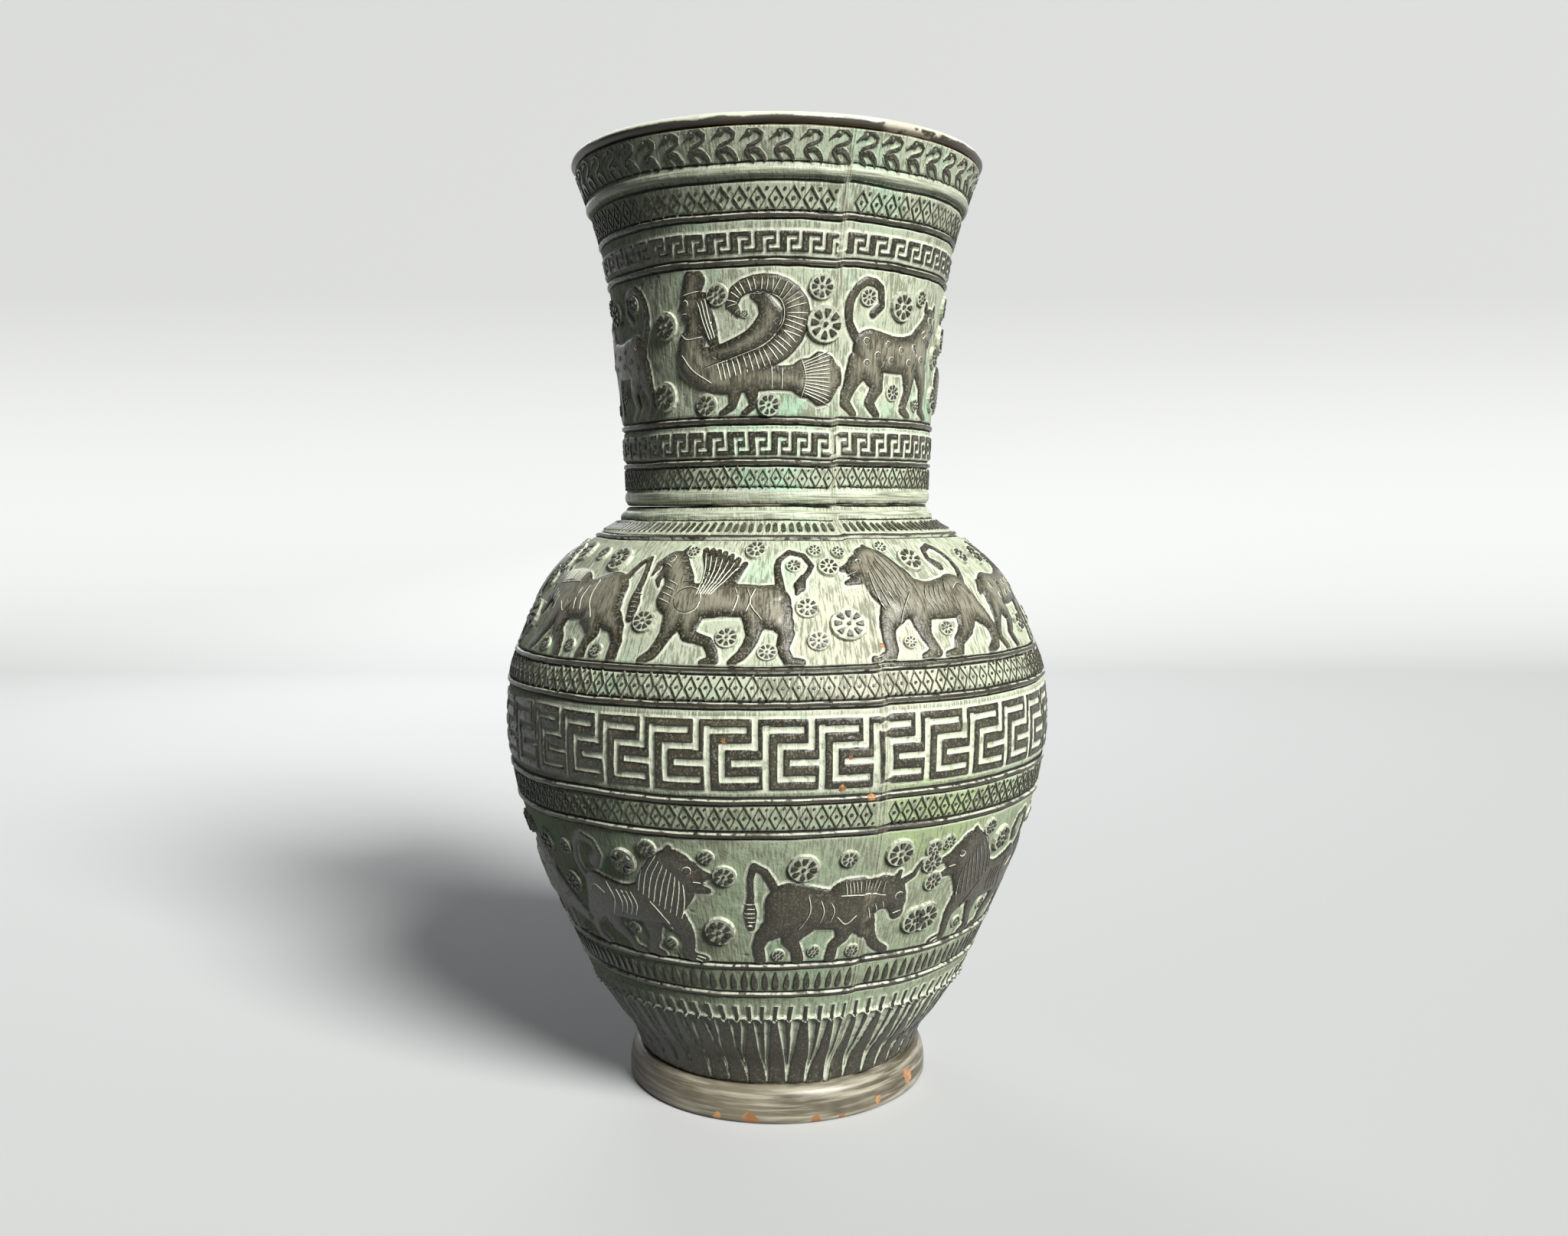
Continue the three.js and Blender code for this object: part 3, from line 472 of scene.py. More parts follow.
# Friezes: the height of the ground line, the middle height, and (figure, azimuth, 1 as drawn or -1 mirrored)
FRIEZES = {
    "body_lower_frieze": (57.1, 78.3, (
        (LION, -27.9, 1), (BULL, 10.6, 1), (LION, 51, -1), (DEER, 91, 1), (BOAR, 131, -1), (PANTHER, 171, 1),
        (BULL, 211, -1), (DEER, 251, 1), (BOAR, 291, 1),
    )),
    "body_upper_frieze": (145.0, 163.0, (
        (GRIFFIN, -8.8, 1), (LION, 30.9, -1), (DEER, 71, 1), (GRIFFIN, 112, -1), (BOAR, 152, 1),
        (PANTHER, 192, 1), (BULL, 232, -1), (LION, 271, 1), (BULL, 311.5, -1),
    )),
    "neck_frieze": (214.8, 238.0, (
        (SIREN, -9.3, 1), (PANTHER, 48, 1), (SIREN, 108, -1), (DEER, 168, 1), (SIREN, 228, 1),
        (PANTHER, 288, -1),
    )),
}
FIGURE_REACH = 31.0  # mm either way from a figure's middle, past its furthest limb
FIGURE_TALL = 48.0  # mm up from the ground line, past the tallest figure

# Fillets between the bands: (height, width, how proud) in mm
FILLETS = (
    (47.1, 1.2, 0.6), (57.1, 1.3, 0.7), (99.3, 1.3, 0.7), (109.2, 1.4, 0.7), (135.9, 1.4, 0.7),
    (145.0, 1.3, 0.7), (180.9, 1.1, 0.5), (202.8, 1.2, 0.6), (214.8, 1.2, 0.6), (260.5, 1.2, 0.6),
    (273.1, 1.2, 0.5),
)
# Rounded mouldings at the collar and the mouth, in the same way
MOULDINGS = ((187.4, 2.6, 0.6), (192.9, 3.4, 0.7), (284.6, 3.0, 0.9))
# Grooves cut beside them: (height, width, how deep) in mm
GROOVES = ((190.1, 1.1, 0.9), (185.9, 0.7, 0.4), (195.6, 0.7, 0.4), (282.1, 0.9, 0.6), (286.9, 0.7, 0.5))

# The rays above the foot: the heights of their feet, their tips and the ticks' top, and how many pairs
RAYS = (12.2, 38.8, 43.2, 48)

# One unit of each key, as pale bars (left, low, right, high) in shares of the unit
BROAD_KEY = (
    (0, 0, 0, 0.84), (0, 0.82, 0.62, 0.82), (0.81, 0.6, 0.81, 1), (0.25, 0.61, 0.81, 0.61),
    (0.25, 0.18, 0.25, 0.61), (0.25, 0.18, 0.83, 0.18), (0.47, 0.395, 1, 0.395),
)
SMALL_KEY = ((0.08, 0, 0.08, 0.66), (0.08, 0.66, 0.38, 0.66), (0.62, 0.3, 0.62, 1), (0.32, 0.3, 0.62, 0.3))
# Bands of keys: (low, high, units round the wall, bars, half width of a bar in mm, azimuth of the first)
KEYS = (
    (111.8, 133.0, 35, BROAD_KEY, 0.82, 8.3),
    (204.4, 212.2, 50, SMALL_KEY, 0.46, 0),
    (262.6, 269.3, 50, SMALL_KEY, 0.46, 3),
)


class Relief:
    """The carving at some points of the wall, which are given by azimuth and by mm along the wall's line.
    height is in mm. raised, rubbed and groove say how far, in mm, a point lies inside a dark raised form, a
    pale edge that is partly wear and partly painted highlight, or a sunk line painted dark with shade. thread
    is THREAD_REACH less the distance from the middle of a fillet, turned is 1 on a smooth moulding, and
    smeared is 1 in a seam. stray is how far the lines wander, in mm."""

    def __init__(self, azimuth, along):
        self.azimuth, self.along = np.broadcast_arrays(azimuth, along)
        shape = self.azimuth.shape
        self.height = np.zeros(shape)
        self.raised = np.full(shape, -3.0)
        self.rubbed = np.full(shape, -FAR)
        self.groove = np.full(shape, -FAR)
        self.thread = np.zeros(shape)
        self.turned = np.zeros(shape)
        self.stray = 0.28 * noise(self.azimuth, self.along, 21, 1)
        self.stray = self.stray + 0.1 * noise(self.azimuth, self.along, 4.5, 2)
        for seam in SEAMS:
            past = signed(self.azimuth - seam)
            self.stray -= 0.3 * np.tanh(past / 0.9) * np.exp(-((past / 9) ** 2))

    def from_line(self, height, stray=1.0):
        """mm up the wall from a turned line, which wanders a little"""
        return self.along - float(WALL.along(height)) + stray * self.stray

    def fillet(self, height, width, proud):
        """A raised thread with a sunk line on each side, which the finish paints dark with shade"""
        off = np.abs(self.from_line(height))
        self.height += proud * (1 - smoothstep(width * 0.36, width * 0.6, off))
        self.height -= 0.5 * (1 - smoothstep(0, 0.55, np.abs(off - width * 0.9)))
        self.thread = np.maximum(self.thread, THREAD_REACH - off)

    def moulding(self, height, width, proud):
        """A broad rounded ridge"""
        off = np.clip(np.abs(self.from_line(height)) / width * 2, 0, 1)
        self.height += proud * np.sqrt(1 - off**2)
        self.turned = np.maximum(self.turned, 1 - smoothstep(0.8, 1.0, off))

    def channel(self, height, width, deep):
        """A cut channel, painted dark with shade"""
        off = np.abs(self.from_line(height))
        self.height -= deep * (1 - smoothstep(width * 0.2, width * 0.6, off))
        self.groove = np.maximum(self.groove, width / 2 - off)

    def key(self, low, high, count, bars, half, start):
        """A running key: dark raised ground with pale sunk bars, between two pale strips"""
        foot, head = float(WALL.along(low)), float(WALL.along(high))
        tall = head - foot
        pitch = 2 * math.pi * float(WALL.radius((low + high) / 2)) / count
        across = (self.azimuth - start) / TURN * count * pitch
        wander = 0.25 * noise(self.azimuth, self.along, 9, 3)
        across = (across + (wander + 0.5 * noise(self.azimuth, 0 * self.along, 16, 4))) % pitch
        up = self.along - foot + self.stray
        pale = np.maximum(half * 0.9 - up, up - tall + half * 0.9)
        for left, bottom, right, top in bars:
            for shift in (-pitch, 0, pitch):
                beside = np.abs(across - shift - (left + right) / 2 * pitch)
                beside = beside - (right - left) / 2 * pitch - half
                over = np.abs(up - (bottom + top) / 2 * tall) - (top - bottom) / 2 * tall - half
                pale = np.maximum(pale, -np.maximum(beside, over))
        inside = smoothstep(-0.8, 0, np.minimum(up + 1.2, tall + 1.2 - up))
        ground = smoothstep(-0.35, 0.45, -pale) * inside
        stipple = 0.16 * noise(self.azimuth, self.along, 0.9, 5)
        self.height += (0.6 + stipple) * ground
        self.raised = np.where(inside > 0, np.maximum(self.raised, -pale), self.raised)

    def rays(self, low, high, top, count):
        """Pairs of sunk pale wedges that meet at the foot, under a scalloped edge and a row of short ticks"""
        foot, edge, head = (float(WALL.along(h)) for h in (low, high, top))
        radius = 46 + 16 * np.clip((self.along - foot) / (edge - foot), 0, 1.3)  # about the wall's own there
        unit = TURN / count
        turn = (self.azimuth / unit + 0.12 * noise(self.azimuth, self.along, 14, 6)) % 1 - 0.5
        per_mm = math.radians(unit) * radius
        up = self.along - foot + self.stray
        share = np.clip(up / (edge - foot), 0, 1)
        centre = 0.02 + 0.23 * share
        half = (0.02 + 0.115 * share**1.1) * per_mm
        beside = (np.abs(turn) - centre) * per_mm
        arch = edge - foot - 0.55 * beside**2 / 1.6
        wedge = np.minimum(half - np.abs(beside), np.minimum(up, arch - 0.5 - up))
        side = np.abs(beside / np.maximum(half, 0.1))
        field = smoothstep(-0.5, 0.5, up) * smoothstep(-0.4, 0.2, arch - up)
        self.height += 0.55 * field - 0.75 * smoothstep(-0.25, 0.35, wedge)
        self.raised = np.where(up < arch, np.maximum(-wedge, -0.9), self.raised)
        # Pale lines along the wedges' edges, a painted highlight along the scalloped edge, and a line of
        # painted shade under it
        edge_line = np.where(side < 1.4, 0.28 - np.abs(wedge - 0.1), -FAR)
        self.rubbed = np.maximum(self.rubbed, edge_line * (up > 1))
        scallop = np.abs(up - arch)
        self.height += 0.5 * (1 - smoothstep(0.2, 0.6, scallop))
        self.rubbed = np.maximum(self.rubbed, 0.34 - scallop)
        self.groove = np.maximum(self.groove, 0.3 - np.abs(up - arch + 0.75))
        tick_turn = np.abs(np.abs(turn) - np.round(np.abs(turn) * 2) / 2) * per_mm
        tick = np.minimum(0.62 - tick_turn, np.minimum(up - (edge - foot) + 1.8, head - foot - up))
        self.height += 0.5 * smoothstep(-0.2, 0.3, tick)
        above = up > arch
        self.raised = np.where(above & (up < head - foot), np.maximum(self.raised, tick), self.raised)

    def frieze(self, ground, middle, figures):
        """Raised figures with rounded edges"""
        radius = float(WALL.radius(middle))
        up = self.from_line(ground, 0.5)
        for figure, azimuth, facing in figures:
            across = np.radians(signed(self.azimuth - azimuth)) * radius * facing
            near = (np.abs(across) < FIGURE_REACH) & (up > -3) & (up < FIGURE_TALL)
            if not near.any():
                continue
            x, y = across[near], up[near]
            x = x + 0.25 * noise(self.azimuth[near], self.along[near], 5, 8)
            inside, dome = figure_depth(figure["limbs"], x, y)
            edge = np.sqrt(1 - (1 - np.clip(inside / 0.9, 0, 1)) ** 2)
            self.height[near] += 0.35 * edge + 0.17 * dome
            self.raised[near] = np.maximum(self.raised[near], inside)

    def age(self):
        """Dents, brush strokes and pits of handmade clay"""
        dents, grain = noise(self.azimuth, self.along, 17, 9), noise(self.azimuth, self.along, 2.2, 10)
        self.height += 0.22 * dents + 0.05 * grain
        pits = noise(self.azimuth, self.along, 1.6, 11) - noise(self.azimuth, self.along, 30, 12) * 0.25
        self.height -= 0.3 * smoothstep(0.86, 1.0, pits)

    def smear(self):
        """The wall was pressed together along its seams, so its carving is flattened there and slip shows"""
        off = np.minimum(*(np.abs(signed(self.azimuth - seam)) for seam in SEAMS))
        off = off + 0.7 * noise(self.azimuth * 0, self.along, 13, 13)
        self.smeared = 1 - smoothstep(0.2, 1.5, np.abs(off))
        rough = 0.5 + 0.35 * noise(self.azimuth, self.along, 3.4, 14)
        self.height = self.height * (1 - 0.75 * self.smeared) + 0.5 * rough * self.smeared
        self.raised -= 0.7 * self.smeared
        self.groove -= 0.3 * self.smeared


def figure_depth(limbs, x, y):
    """How far in mm each point lies inside a figure, and how high the figure's limbs are domed there"""
    inside, dome = np.full(x.shape, -FAR), np.zeros(x.shape)
    for limb in limbs:
        chain = curve_through(limb, 2.5) if len(limb) > 1 else np.array([limb[0], limb[0]], float)
        for (x0, y0, r0), (x1, y1, r1) in zip(chain, chain[1:]):
            dx, dy = x1 - x0, y1 - y0
            long = max(dx * dx + dy * dy, 1e-6)
            t = np.clip(((x - x0) * dx + (y - y0) * dy) / long, 0, 1)
            reach = r0 + (r1 - r0) * t
            away = np.hypot(x - x0 - t * dx, y - y0 - t * dy)
            inside = np.maximum(inside, reach - away)
            dome = np.maximum(dome, np.sqrt(np.maximum(reach**2 - away**2, 0)))
    return inside, np.minimum(dome, 6.5)


def carve(azimuth, along):
    """The whole wall's carving at the given points"""
    relief = Relief(azimuth, along)
    low, high = relief.along.min(), relief.along.max()

    def near(*heights):
        """If the points come within 4 mm of the stretch between the heights"""
        return low - 4 < WALL.along(max(heights)) and high + 4 > WALL.along(min(heights))

    if near(*RAYS[:3]):
        relief.rays(*RAYS)
    for ground, middle, figures in FRIEZES.values():
        if near(ground, ground + FIGURE_TALL):
            relief.frieze(ground, middle, figures)
    for band in KEYS:
        if near(*band[:2]):
            relief.key(*band)
    turned_lines = ((relief.moulding, MOULDINGS), (relief.channel, GROOVES), (relief.fillet, FILLETS))
    for turn, lines in turned_lines:
        for height, width, amount in lines:
            if near(height):
                turn(height, width, amount)
    relief.age()
    relief.smear()
    return relief


# Meshes
def new_mesh(name, points, faces=(), quads=None, **values):
    """A mesh in metres from points in mm, with a value at each point for each named attribute"""
    mesh = bpy.data.meshes.new(name)
    if quads is None:
        mesh.from_pydata((np.asarray(points) * MM).tolist(), [], faces)
    else:
        loops = np.concatenate([np.asarray(quads).ravel(), *(np.asarray(f) for f in faces)]).astype(np.int32)
        sizes = np.concatenate([np.full(len(quads), 4), [len(f) for f in faces]]).astype(int)
        mesh.vertices.add(len(points))
        mesh.vertices.foreach_set("co", (np.asarray(points) * MM).astype(np.float32).ravel())
        mesh.loops.add(len(loops))
        mesh.loops.foreach_set("vertex_index", loops)
        mesh.polygons.add(len(sizes))
        mesh.polygons.foreach_set("loop_start", np.concatenate([[0], np.cumsum(sizes)[:-1]]).astype(np.int32))
    mesh.update(calc_edges=True)
    for key, value in values.items():
        kind = "FLOAT" if np.asarray(value).dtype.kind == "f" else "BOOLEAN"
        attribute = mesh.attributes.new(key, kind, "POINT" if len(value) == len(points) else "FACE")
        attribute.data.foreach_set("value", np.asarray(value).ravel())
    return mesh


def new_object(name, data):
    """An object in the scene"""
    made = bpy.data.objects.new(name, data)
    bpy.context.scene.collection.objects.link(made)
    return made


def shade_smooth(mesh):
    """Smooth shading on every face"""
    mesh.polygons.foreach_set("use_smooth", np.ones(len(mesh.polygons), bool))


def row_lengths(section):
    """The lengths up the wall of a section's rows of points, which lie closer beside its fillets"""
    count = int((section.head - section.foot) / section.pitch) + 1
    rows = np.linspace(section.foot, section.head, count)
    middles = np.array([float(WALL.along(height)) for height, _, _ in FILLETS])
    apart = np.abs(rows[:, None] - middles).min(1)
    apart[[0, -1]] = FAR
    fine = (middles[:, None] + np.arange(-1.5, 1.6, 0.25)).ravel()
    fine = fine[(fine > section.foot + 0.1) & (fine < section.head - 0.1)]
    return np.sort(np.concatenate([rows[apart > 1.6], fine]))


def grid_faces(ids):
    """The four-sided faces of a grid of points"""
    return np.stack([ids[:-1, :-1], ids[:-1, 1:], ids[1:, 1:], ids[1:, :-1]], -1).reshape(-1, 4)


def wall_mesh(name, section, start, end):
    """A closed piece of the wall, laid out flat: its carved face, its plain inner face and its edges"""
    form = bpy.context.scene.vase_form
    thick = (form.neck_wall if name.startswith("neck") else form.body_wall) / MM
    columns = max(int((end - start) / TURN * 2 * math.pi * section.radius / section.pitch), 2)
    azimuth = np.linspace(start, end, columns + 1)
    along = row_lengths(section)
    relief = carve(azimuth[None, :], along[:, None])
    across, up = np.meshgrid(np.radians(azimuth) * section.radius, along - section.foot)
    outer = np.stack([across, up, relief.height], -1)
    inner_rows = max((len(along) - 1) // 24, 2)
    inner_up = np.linspace(0, section.head - section.foot, inner_rows + 1)
    across, up = np.meshgrid(np.radians(azimuth) * section.radius, inner_up)
    inner = np.stack([across, up, np.full(across.shape, -thick)], -1)
    points = np.concatenate([outer.reshape(-1, 3), inner.reshape(-1, 3)])
    front = np.arange(outer.size // 3).reshape(outer.shape[:2])
    back = front.size + np.arange(inner.size // 3).reshape(inner.shape[:2])
    carved = grid_faces(front)
    foot = grid_faces(np.stack([back[0], front[0]]))
    head = grid_faces(np.stack([front[-1], back[-1]]))
    quads = np.concatenate([carved, grid_faces(back[:, ::-1]), foot, head])
    ends = [np.concatenate([front[::-1, 0], back[:, 0]]), np.concatenate([front[:, -1], back[::-1, -1]])]
    face = np.arange(len(quads) + len(ends))
    attributes = {
        key: np.concatenate([getattr(relief, key).ravel(), np.zeros(back.size)]).astype(np.float32)
        for key in ("raised", "rubbed", "groove", "thread", "turned", "smeared")
    }
    sharp = face >= len(carved) + inner_rows * columns
    return new_mesh(name, points, ends, quads, sharp_face=sharp, inside=face >= len(carved), **attributes)


# Node trees
def add(tree, kind, inputs=None, **settings):
    """A node, with its settings, its inputs' values and the links into it"""
    made = tree.nodes.new(kind)
    for name, value in settings.items():
        setattr(made, name, value)
    for key, value in (inputs or {}).items():
        if isinstance(value, bpy.types.NodeSocket):
            tree.links.new(value, made.inputs[key])
        else:
            made.inputs[key].default_value = value
    return made


def calc(tree, operation, *values):
    """A sum on numbers"""
    return add(tree, "ShaderNodeMath", dict(enumerate(values)), operation=operation).outputs[0]


def parts_of(tree, vector):
    """The x, y and z of a vector"""
    return add(tree, "ShaderNodeSeparateXYZ", {0: vector}).outputs


def vector_of(tree, *parts):
    """A vector from its x, y and z, with 0 for those that aren't given"""
    return add(tree, "ShaderNodeCombineXYZ", dict(enumerate(parts))).outputs[0]


def position(tree):
    """The x, y and z of each point"""
    return parts_of(tree, add(tree, "GeometryNodeInputPosition").outputs[0])


def ranged(tree, share, first, last):
    """From the first value to the last, as share goes from 0 to 1"""
    return add(tree, "ShaderNodeMapRange", {"Value": share, "To Min": first, "To Max": last}).outputs[0]


def round_the_axis(tree, radius, sine, cosine, height):
    """A place at a radius and a height, turned from the front towards the right"""
    back = calc(tree, "MULTIPLY", calc(tree, "MULTIPLY", radius, cosine), -1.0)
    return vector_of(tree, calc(tree, "MULTIPLY", radius, sine), back, height)


def with_finish(tree, geometry, material):
    """The geometry in one finish"""
    return add(tree, "GeometryNodeSetMaterial", {"Geometry": geometry, "Material": material}).outputs[0]


def new_tree(name, inputs):
    """An empty geometry tree with named inputs: (tree, its inputs' sockets, what sets its result)"""
    tree = bpy.data.node_groups.new(name, "GeometryNodeTree")
    tree.interface.new_socket("Geometry", in_out="OUTPUT", socket_type="NodeSocketGeometry")
    tree.interface.new_socket("Geometry", in_out="INPUT", socket_type="NodeSocketGeometry")
    for label, kind, value in inputs:
        socket = tree.interface.new_socket(label, in_out="INPUT", socket_type="NodeSocket" + kind)
        if value is not None:
            socket.default_value = value
    entry, leave = tree.nodes.new("NodeGroupInput"), tree.nodes.new("NodeGroupOutput")
    return tree, entry.outputs, lambda socket: tree.links.new(socket, leave.inputs[0])


BEND = (
    ("Wall line", "Object", None), ("Radius", "Float", 0.08), ("Foot", "Float", 0.0),
    ("Height", "Float", 0.04), ("Lean at the foot", "Float", 0.0), ("Lean at the head", "Float", 0.0),
)


def bend_tree():
    """Bends what lies flat round the vase: along the band, up the wall's line, and out from it"""
    tree, given, result = new_tree("bend_round_the_wall", BEND)
    solid = add(tree, "GeometryNodeRealizeInstances", {0: given["Geometry"]}).outputs[0]
    across, up, out = position(tree)
    along = calc(tree, "ADD", given["Foot"], up)
    stored = add(
        tree, "GeometryNodeStoreNamedAttribute",
        {"Geometry": solid, "Name": "flat", "Value": vector_of(tree, across, along, out)},
        data_type="FLOAT_VECTOR", domain="POINT",
    ).outputs[0]
    turn = calc(tree, "DIVIDE", across, given["Radius"])
    share = calc(tree, "DIVIDE", up, given["Height"])
    lean = ranged(tree, share, given["Lean at the foot"], given["Lean at the head"])
    sine, cosine = calc(tree, "SINE", turn), calc(tree, "COSINE", turn)
    length = calc(tree, "ADD", along, calc(tree, "MULTIPLY", lean, sine))
    profile = add(tree, "GeometryNodeObjectInfo", {"Object": given["Wall line"]}).outputs["Geometry"]
    sample = add(tree, "GeometryNodeSampleCurve", {"Curves": profile, "Length": length}, mode="LENGTH")
    radius, _, height = parts_of(tree, sample.outputs["Position"])
    flare, _, rise = parts_of(tree, sample.outputs["Tangent"])
    radius = calc(tree, "MULTIPLY_ADD", rise, out, radius)
    height = calc(tree, "SUBTRACT", height, calc(tree, "MULTIPLY", flare, out))
    bent = round_the_axis(tree, radius, sine, cosine, height)
    result(add(tree, "GeometryNodeSetPosition", {"Geometry": stored, "Position": bent}).outputs[0])
    return tree


def bend(tree, given, geometry):
    """The bending group inside another tree"""
    group = add(tree, "GeometryNodeGroup", node_tree=shared_tree("bend_round_the_wall", bend_tree))
    tree.links.new(geometry, group.inputs["Geometry"])
    for label, _, _ in BEND:
        tree.links.new(given[label], group.inputs[label])
    return group.outputs[0]


def shared_tree(name, make):
    """The tree of that name, made on first use"""
    return bpy.data.node_groups.get(name) or make()


def sheet_tree():
    """A carved sheet: bent round the wall, with one finish outside and one inside"""
    inputs = (*BEND, ("Finish", "Material", None), ("Inner finish", "Material", None))
    tree, given, result = new_tree("carved_sheet", inputs)
    outer = with_finish(tree, bend(tree, given, given["Geometry"]), given["Finish"])
    inside = add(tree, "GeometryNodeInputNamedAttribute", {"Name": "inside"}, data_type="BOOLEAN").outputs[0]
    settings = {"Geometry": outer, "Selection": inside, "Material": given["Inner finish"]}
    result(add(tree, "GeometryNodeSetMaterial", settings).outputs[0])
    return tree


def random_value(tree, given, low, high, seed, kind="FLOAT"):
    """A number or a vector for each instance, the same on each run"""
    least, most = {"FLOAT": (2, 3), "FLOAT_VECTOR": (0, 1)}[kind]
    node = add(tree, "FunctionNodeRandomValue", {least: low, most: high}, data_type=kind)
    tree.links.new(calc(tree, "ADD", given["Seed"], float(seed)), node.inputs["Seed"])
    return next(s for s in node.outputs if s.enabled)


SCATTER = (
    ("Motif", "Object", None), ("Seed", "Int", 1), ("Uneven size", "Float", 0.06),
    ("Uneven turn", "Float", 0.05), ("Finish", "Material", None),
)


def place_motifs(tree, given, points, size):
    """Motifs on points, each a little uneven, bent round the wall and given their finish"""
    shape = add(tree, "GeometryNodeObjectInfo", {"Object": given["Motif"]}).outputs["Geometry"]
    less = calc(tree, "SUBTRACT", 1.0, given["Uneven size"])
    more = calc(tree, "ADD", 1.0, given["Uneven size"])
    scale = random_value(tree, given, less, more, 1)
    back = calc(tree, "MULTIPLY", given["Uneven turn"], -1.0)
    rotation = vector_of(tree, 0.0, 0.0, random_value(tree, given, back, given["Uneven turn"], 2))
    if size:
        scale = calc(tree, "MULTIPLY", scale, size)
    settings = {"Points": points, "Instance": shape, "Rotation": rotation, "Scale": scale}
    placed = add(tree, "GeometryNodeInstanceOnPoints", settings).outputs[0]
    return with_finish(tree, bend(tree, given, placed), given["Finish"])


def row_tree():
    """A row of one motif round the whole wall, left out where the seams smeared it"""
    inputs = (*BEND, *SCATTER, ("Count", "Int", 48), ("Start", "Float", 0.0), ("Smeared", "Float", 0.03))
    tree, given, result = new_tree("motif_row", inputs)
    pitch = calc(tree, "DIVIDE", 2 * math.pi, given["Count"])
    step = calc(tree, "MULTIPLY", pitch, given["Radius"])
    start = calc(tree, "MULTIPLY", given["Start"], given["Radius"])
    settings = {
        "Count": given["Count"], "Start Location": vector_of(tree, start), "Offset": vector_of(tree, step),
    }
    row = add(tree, "GeometryNodeMeshLine", settings, mode="OFFSET").outputs[0]
    turn = calc(tree, "DIVIDE", position(tree)[0], given["Radius"])
    off = calc(tree, "PINGPONG", calc(tree, "SUBTRACT", turn, math.radians(SEAMS[0])), math.pi / 2)
    smeared = calc(tree, "LESS_THAN", off, given["Smeared"])
    settings = {"Geometry": row, "Selection": smeared}
    kept = add(tree, "GeometryNodeDeleteGeometry", settings, domain="POINT").outputs[0]
    least, most = (-0.0001, -0.00012, 0.0), (0.0001, 0.00012, 0.0)
    shift = random_value(tree, given, least, most, 3, "FLOAT_VECTOR")
    loose = add(tree, "GeometryNodeSetPosition", {"Geometry": kept, "Offset": shift}).outputs[0]
    result(place_motifs(tree, given, loose, None))
    return tree


def scatter_tree():
    """A motif on each given point, at that point's size"""
    tree, given, result = new_tree("motif_scatter", (*BEND, *SCATTER))
    size = add(tree, "GeometryNodeInputNamedAttribute", {"Name": "size"}, data_type="FLOAT").outputs[0]
    result(place_motifs(tree, given, given["Geometry"], size))
    return tree


def ring_tree():
    """A turned ring: a closed profile swept round the axis, and a little uneven, as a thrown rim is"""
    inputs = (
        ("Profile", "Object", None), ("Round", "Int", 360), ("Along", "Int", 60),
        ("Unevenness", "Float", 0.0002), ("Seed", "Int", 1), ("Finish", "Material", None),
    )
    tree, given, result = new_tree("turned_ring", inputs)
    settings = {
        "Size X": 2 * math.pi, "Size Y": 1.0, "Vertices X": calc(tree, "ADD", given["Round"], 1.0),
        "Vertices Y": calc(tree, "ADD", given["Along"], 1.0),
    }
    plane = add(tree, "GeometryNodeMeshGrid", settings).outputs[0]
    turn, share, _ = position(tree)
    profile = add(tree, "GeometryNodeObjectInfo", {"Object": given["Profile"]}).outputs["Geometry"]
    factor = calc(tree, "ADD", share, 0.5)
    sample = add(tree, "GeometryNodeSampleCurve", {"Curves": profile, "Factor": factor}, mode="FACTOR")
    radius, _, height = parts_of(tree, sample.outputs["Position"])
    sine, cosine = calc(tree, "SINE", turn), calc(tree, "COSINE", turn)
    place = vector_of(tree, calc(tree, "MULTIPLY", sine, 1.4), calc(tree, "MULTIPLY", cosine, 1.4))
    seed = calc(tree, "ADD", given["Seed"], 0.5)
    settings = {"Vector": place, "W": seed, "Scale": 1.6, "Detail": 2.0}
    waves = add(tree, "ShaderNodeTexNoise", settings, noise_dimensions="4D").outputs[0]
    swell = calc(tree, "MULTIPLY", calc(tree, "SUBTRACT", waves, 0.5), given["Unevenness"])
    at = round_the_axis(tree, calc(tree, "ADD", radius, swell), sine, cosine, height)
    turned = add(tree, "GeometryNodeSetPosition", {"Geometry": plane, "Position": at}).outputs[0]
    closed = add(tree, "GeometryNodeMergeByDistance", {"Geometry": turned, "Distance": 1e-6}).outputs[0]
    solid = add(tree, "GeometryNodeRealizeInstances", {0: closed}).outputs[0]
    result(with_finish(tree, solid, given["Finish"]))
    return tree


def grow(name, tree, start, **values):
    """Runs a tree on a start mesh, with values for its named inputs, and keeps the result as a plain mesh"""
    made = new_object(name, start)
    modifier = made.modifiers.new("Carving", "NODES")
    modifier.node_group = tree
    for item in tree.interface.items_tree:
        if item.in_out == "INPUT" and item.name in values:
            modifier[item.identifier] = values.pop(item.name)
    if values:
        raise ValueError(f"{tree.name} has no inputs named {sorted(values)}")
    depsgraph = bpy.context.evaluated_depsgraph_get()
    mesh = bpy.data.meshes.new_from_object(
        made.evaluated_get(depsgraph), preserve_all_data_layers=True, depsgraph=depsgraph
    )
    made.modifiers.remove(modifier)
    made.data = mesh
    mesh.name = name
    if not mesh.polygons:
        raise RuntimeError(f"{name} came out empty")
    return made


def keep(piece, slot, *nodes):
    """Ties a finished piece to the frame"""
    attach(piece, "root")
    if nodes:
        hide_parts(*nodes)
    return piece


def wall_line_object():
    """The wall's line as a curve, made once"""
    made = bpy.data.objects.get("wall_line")
    return made or profile_object("wall_line", list(zip(WALL.radii[::3], WALL.heights[::3])), False)


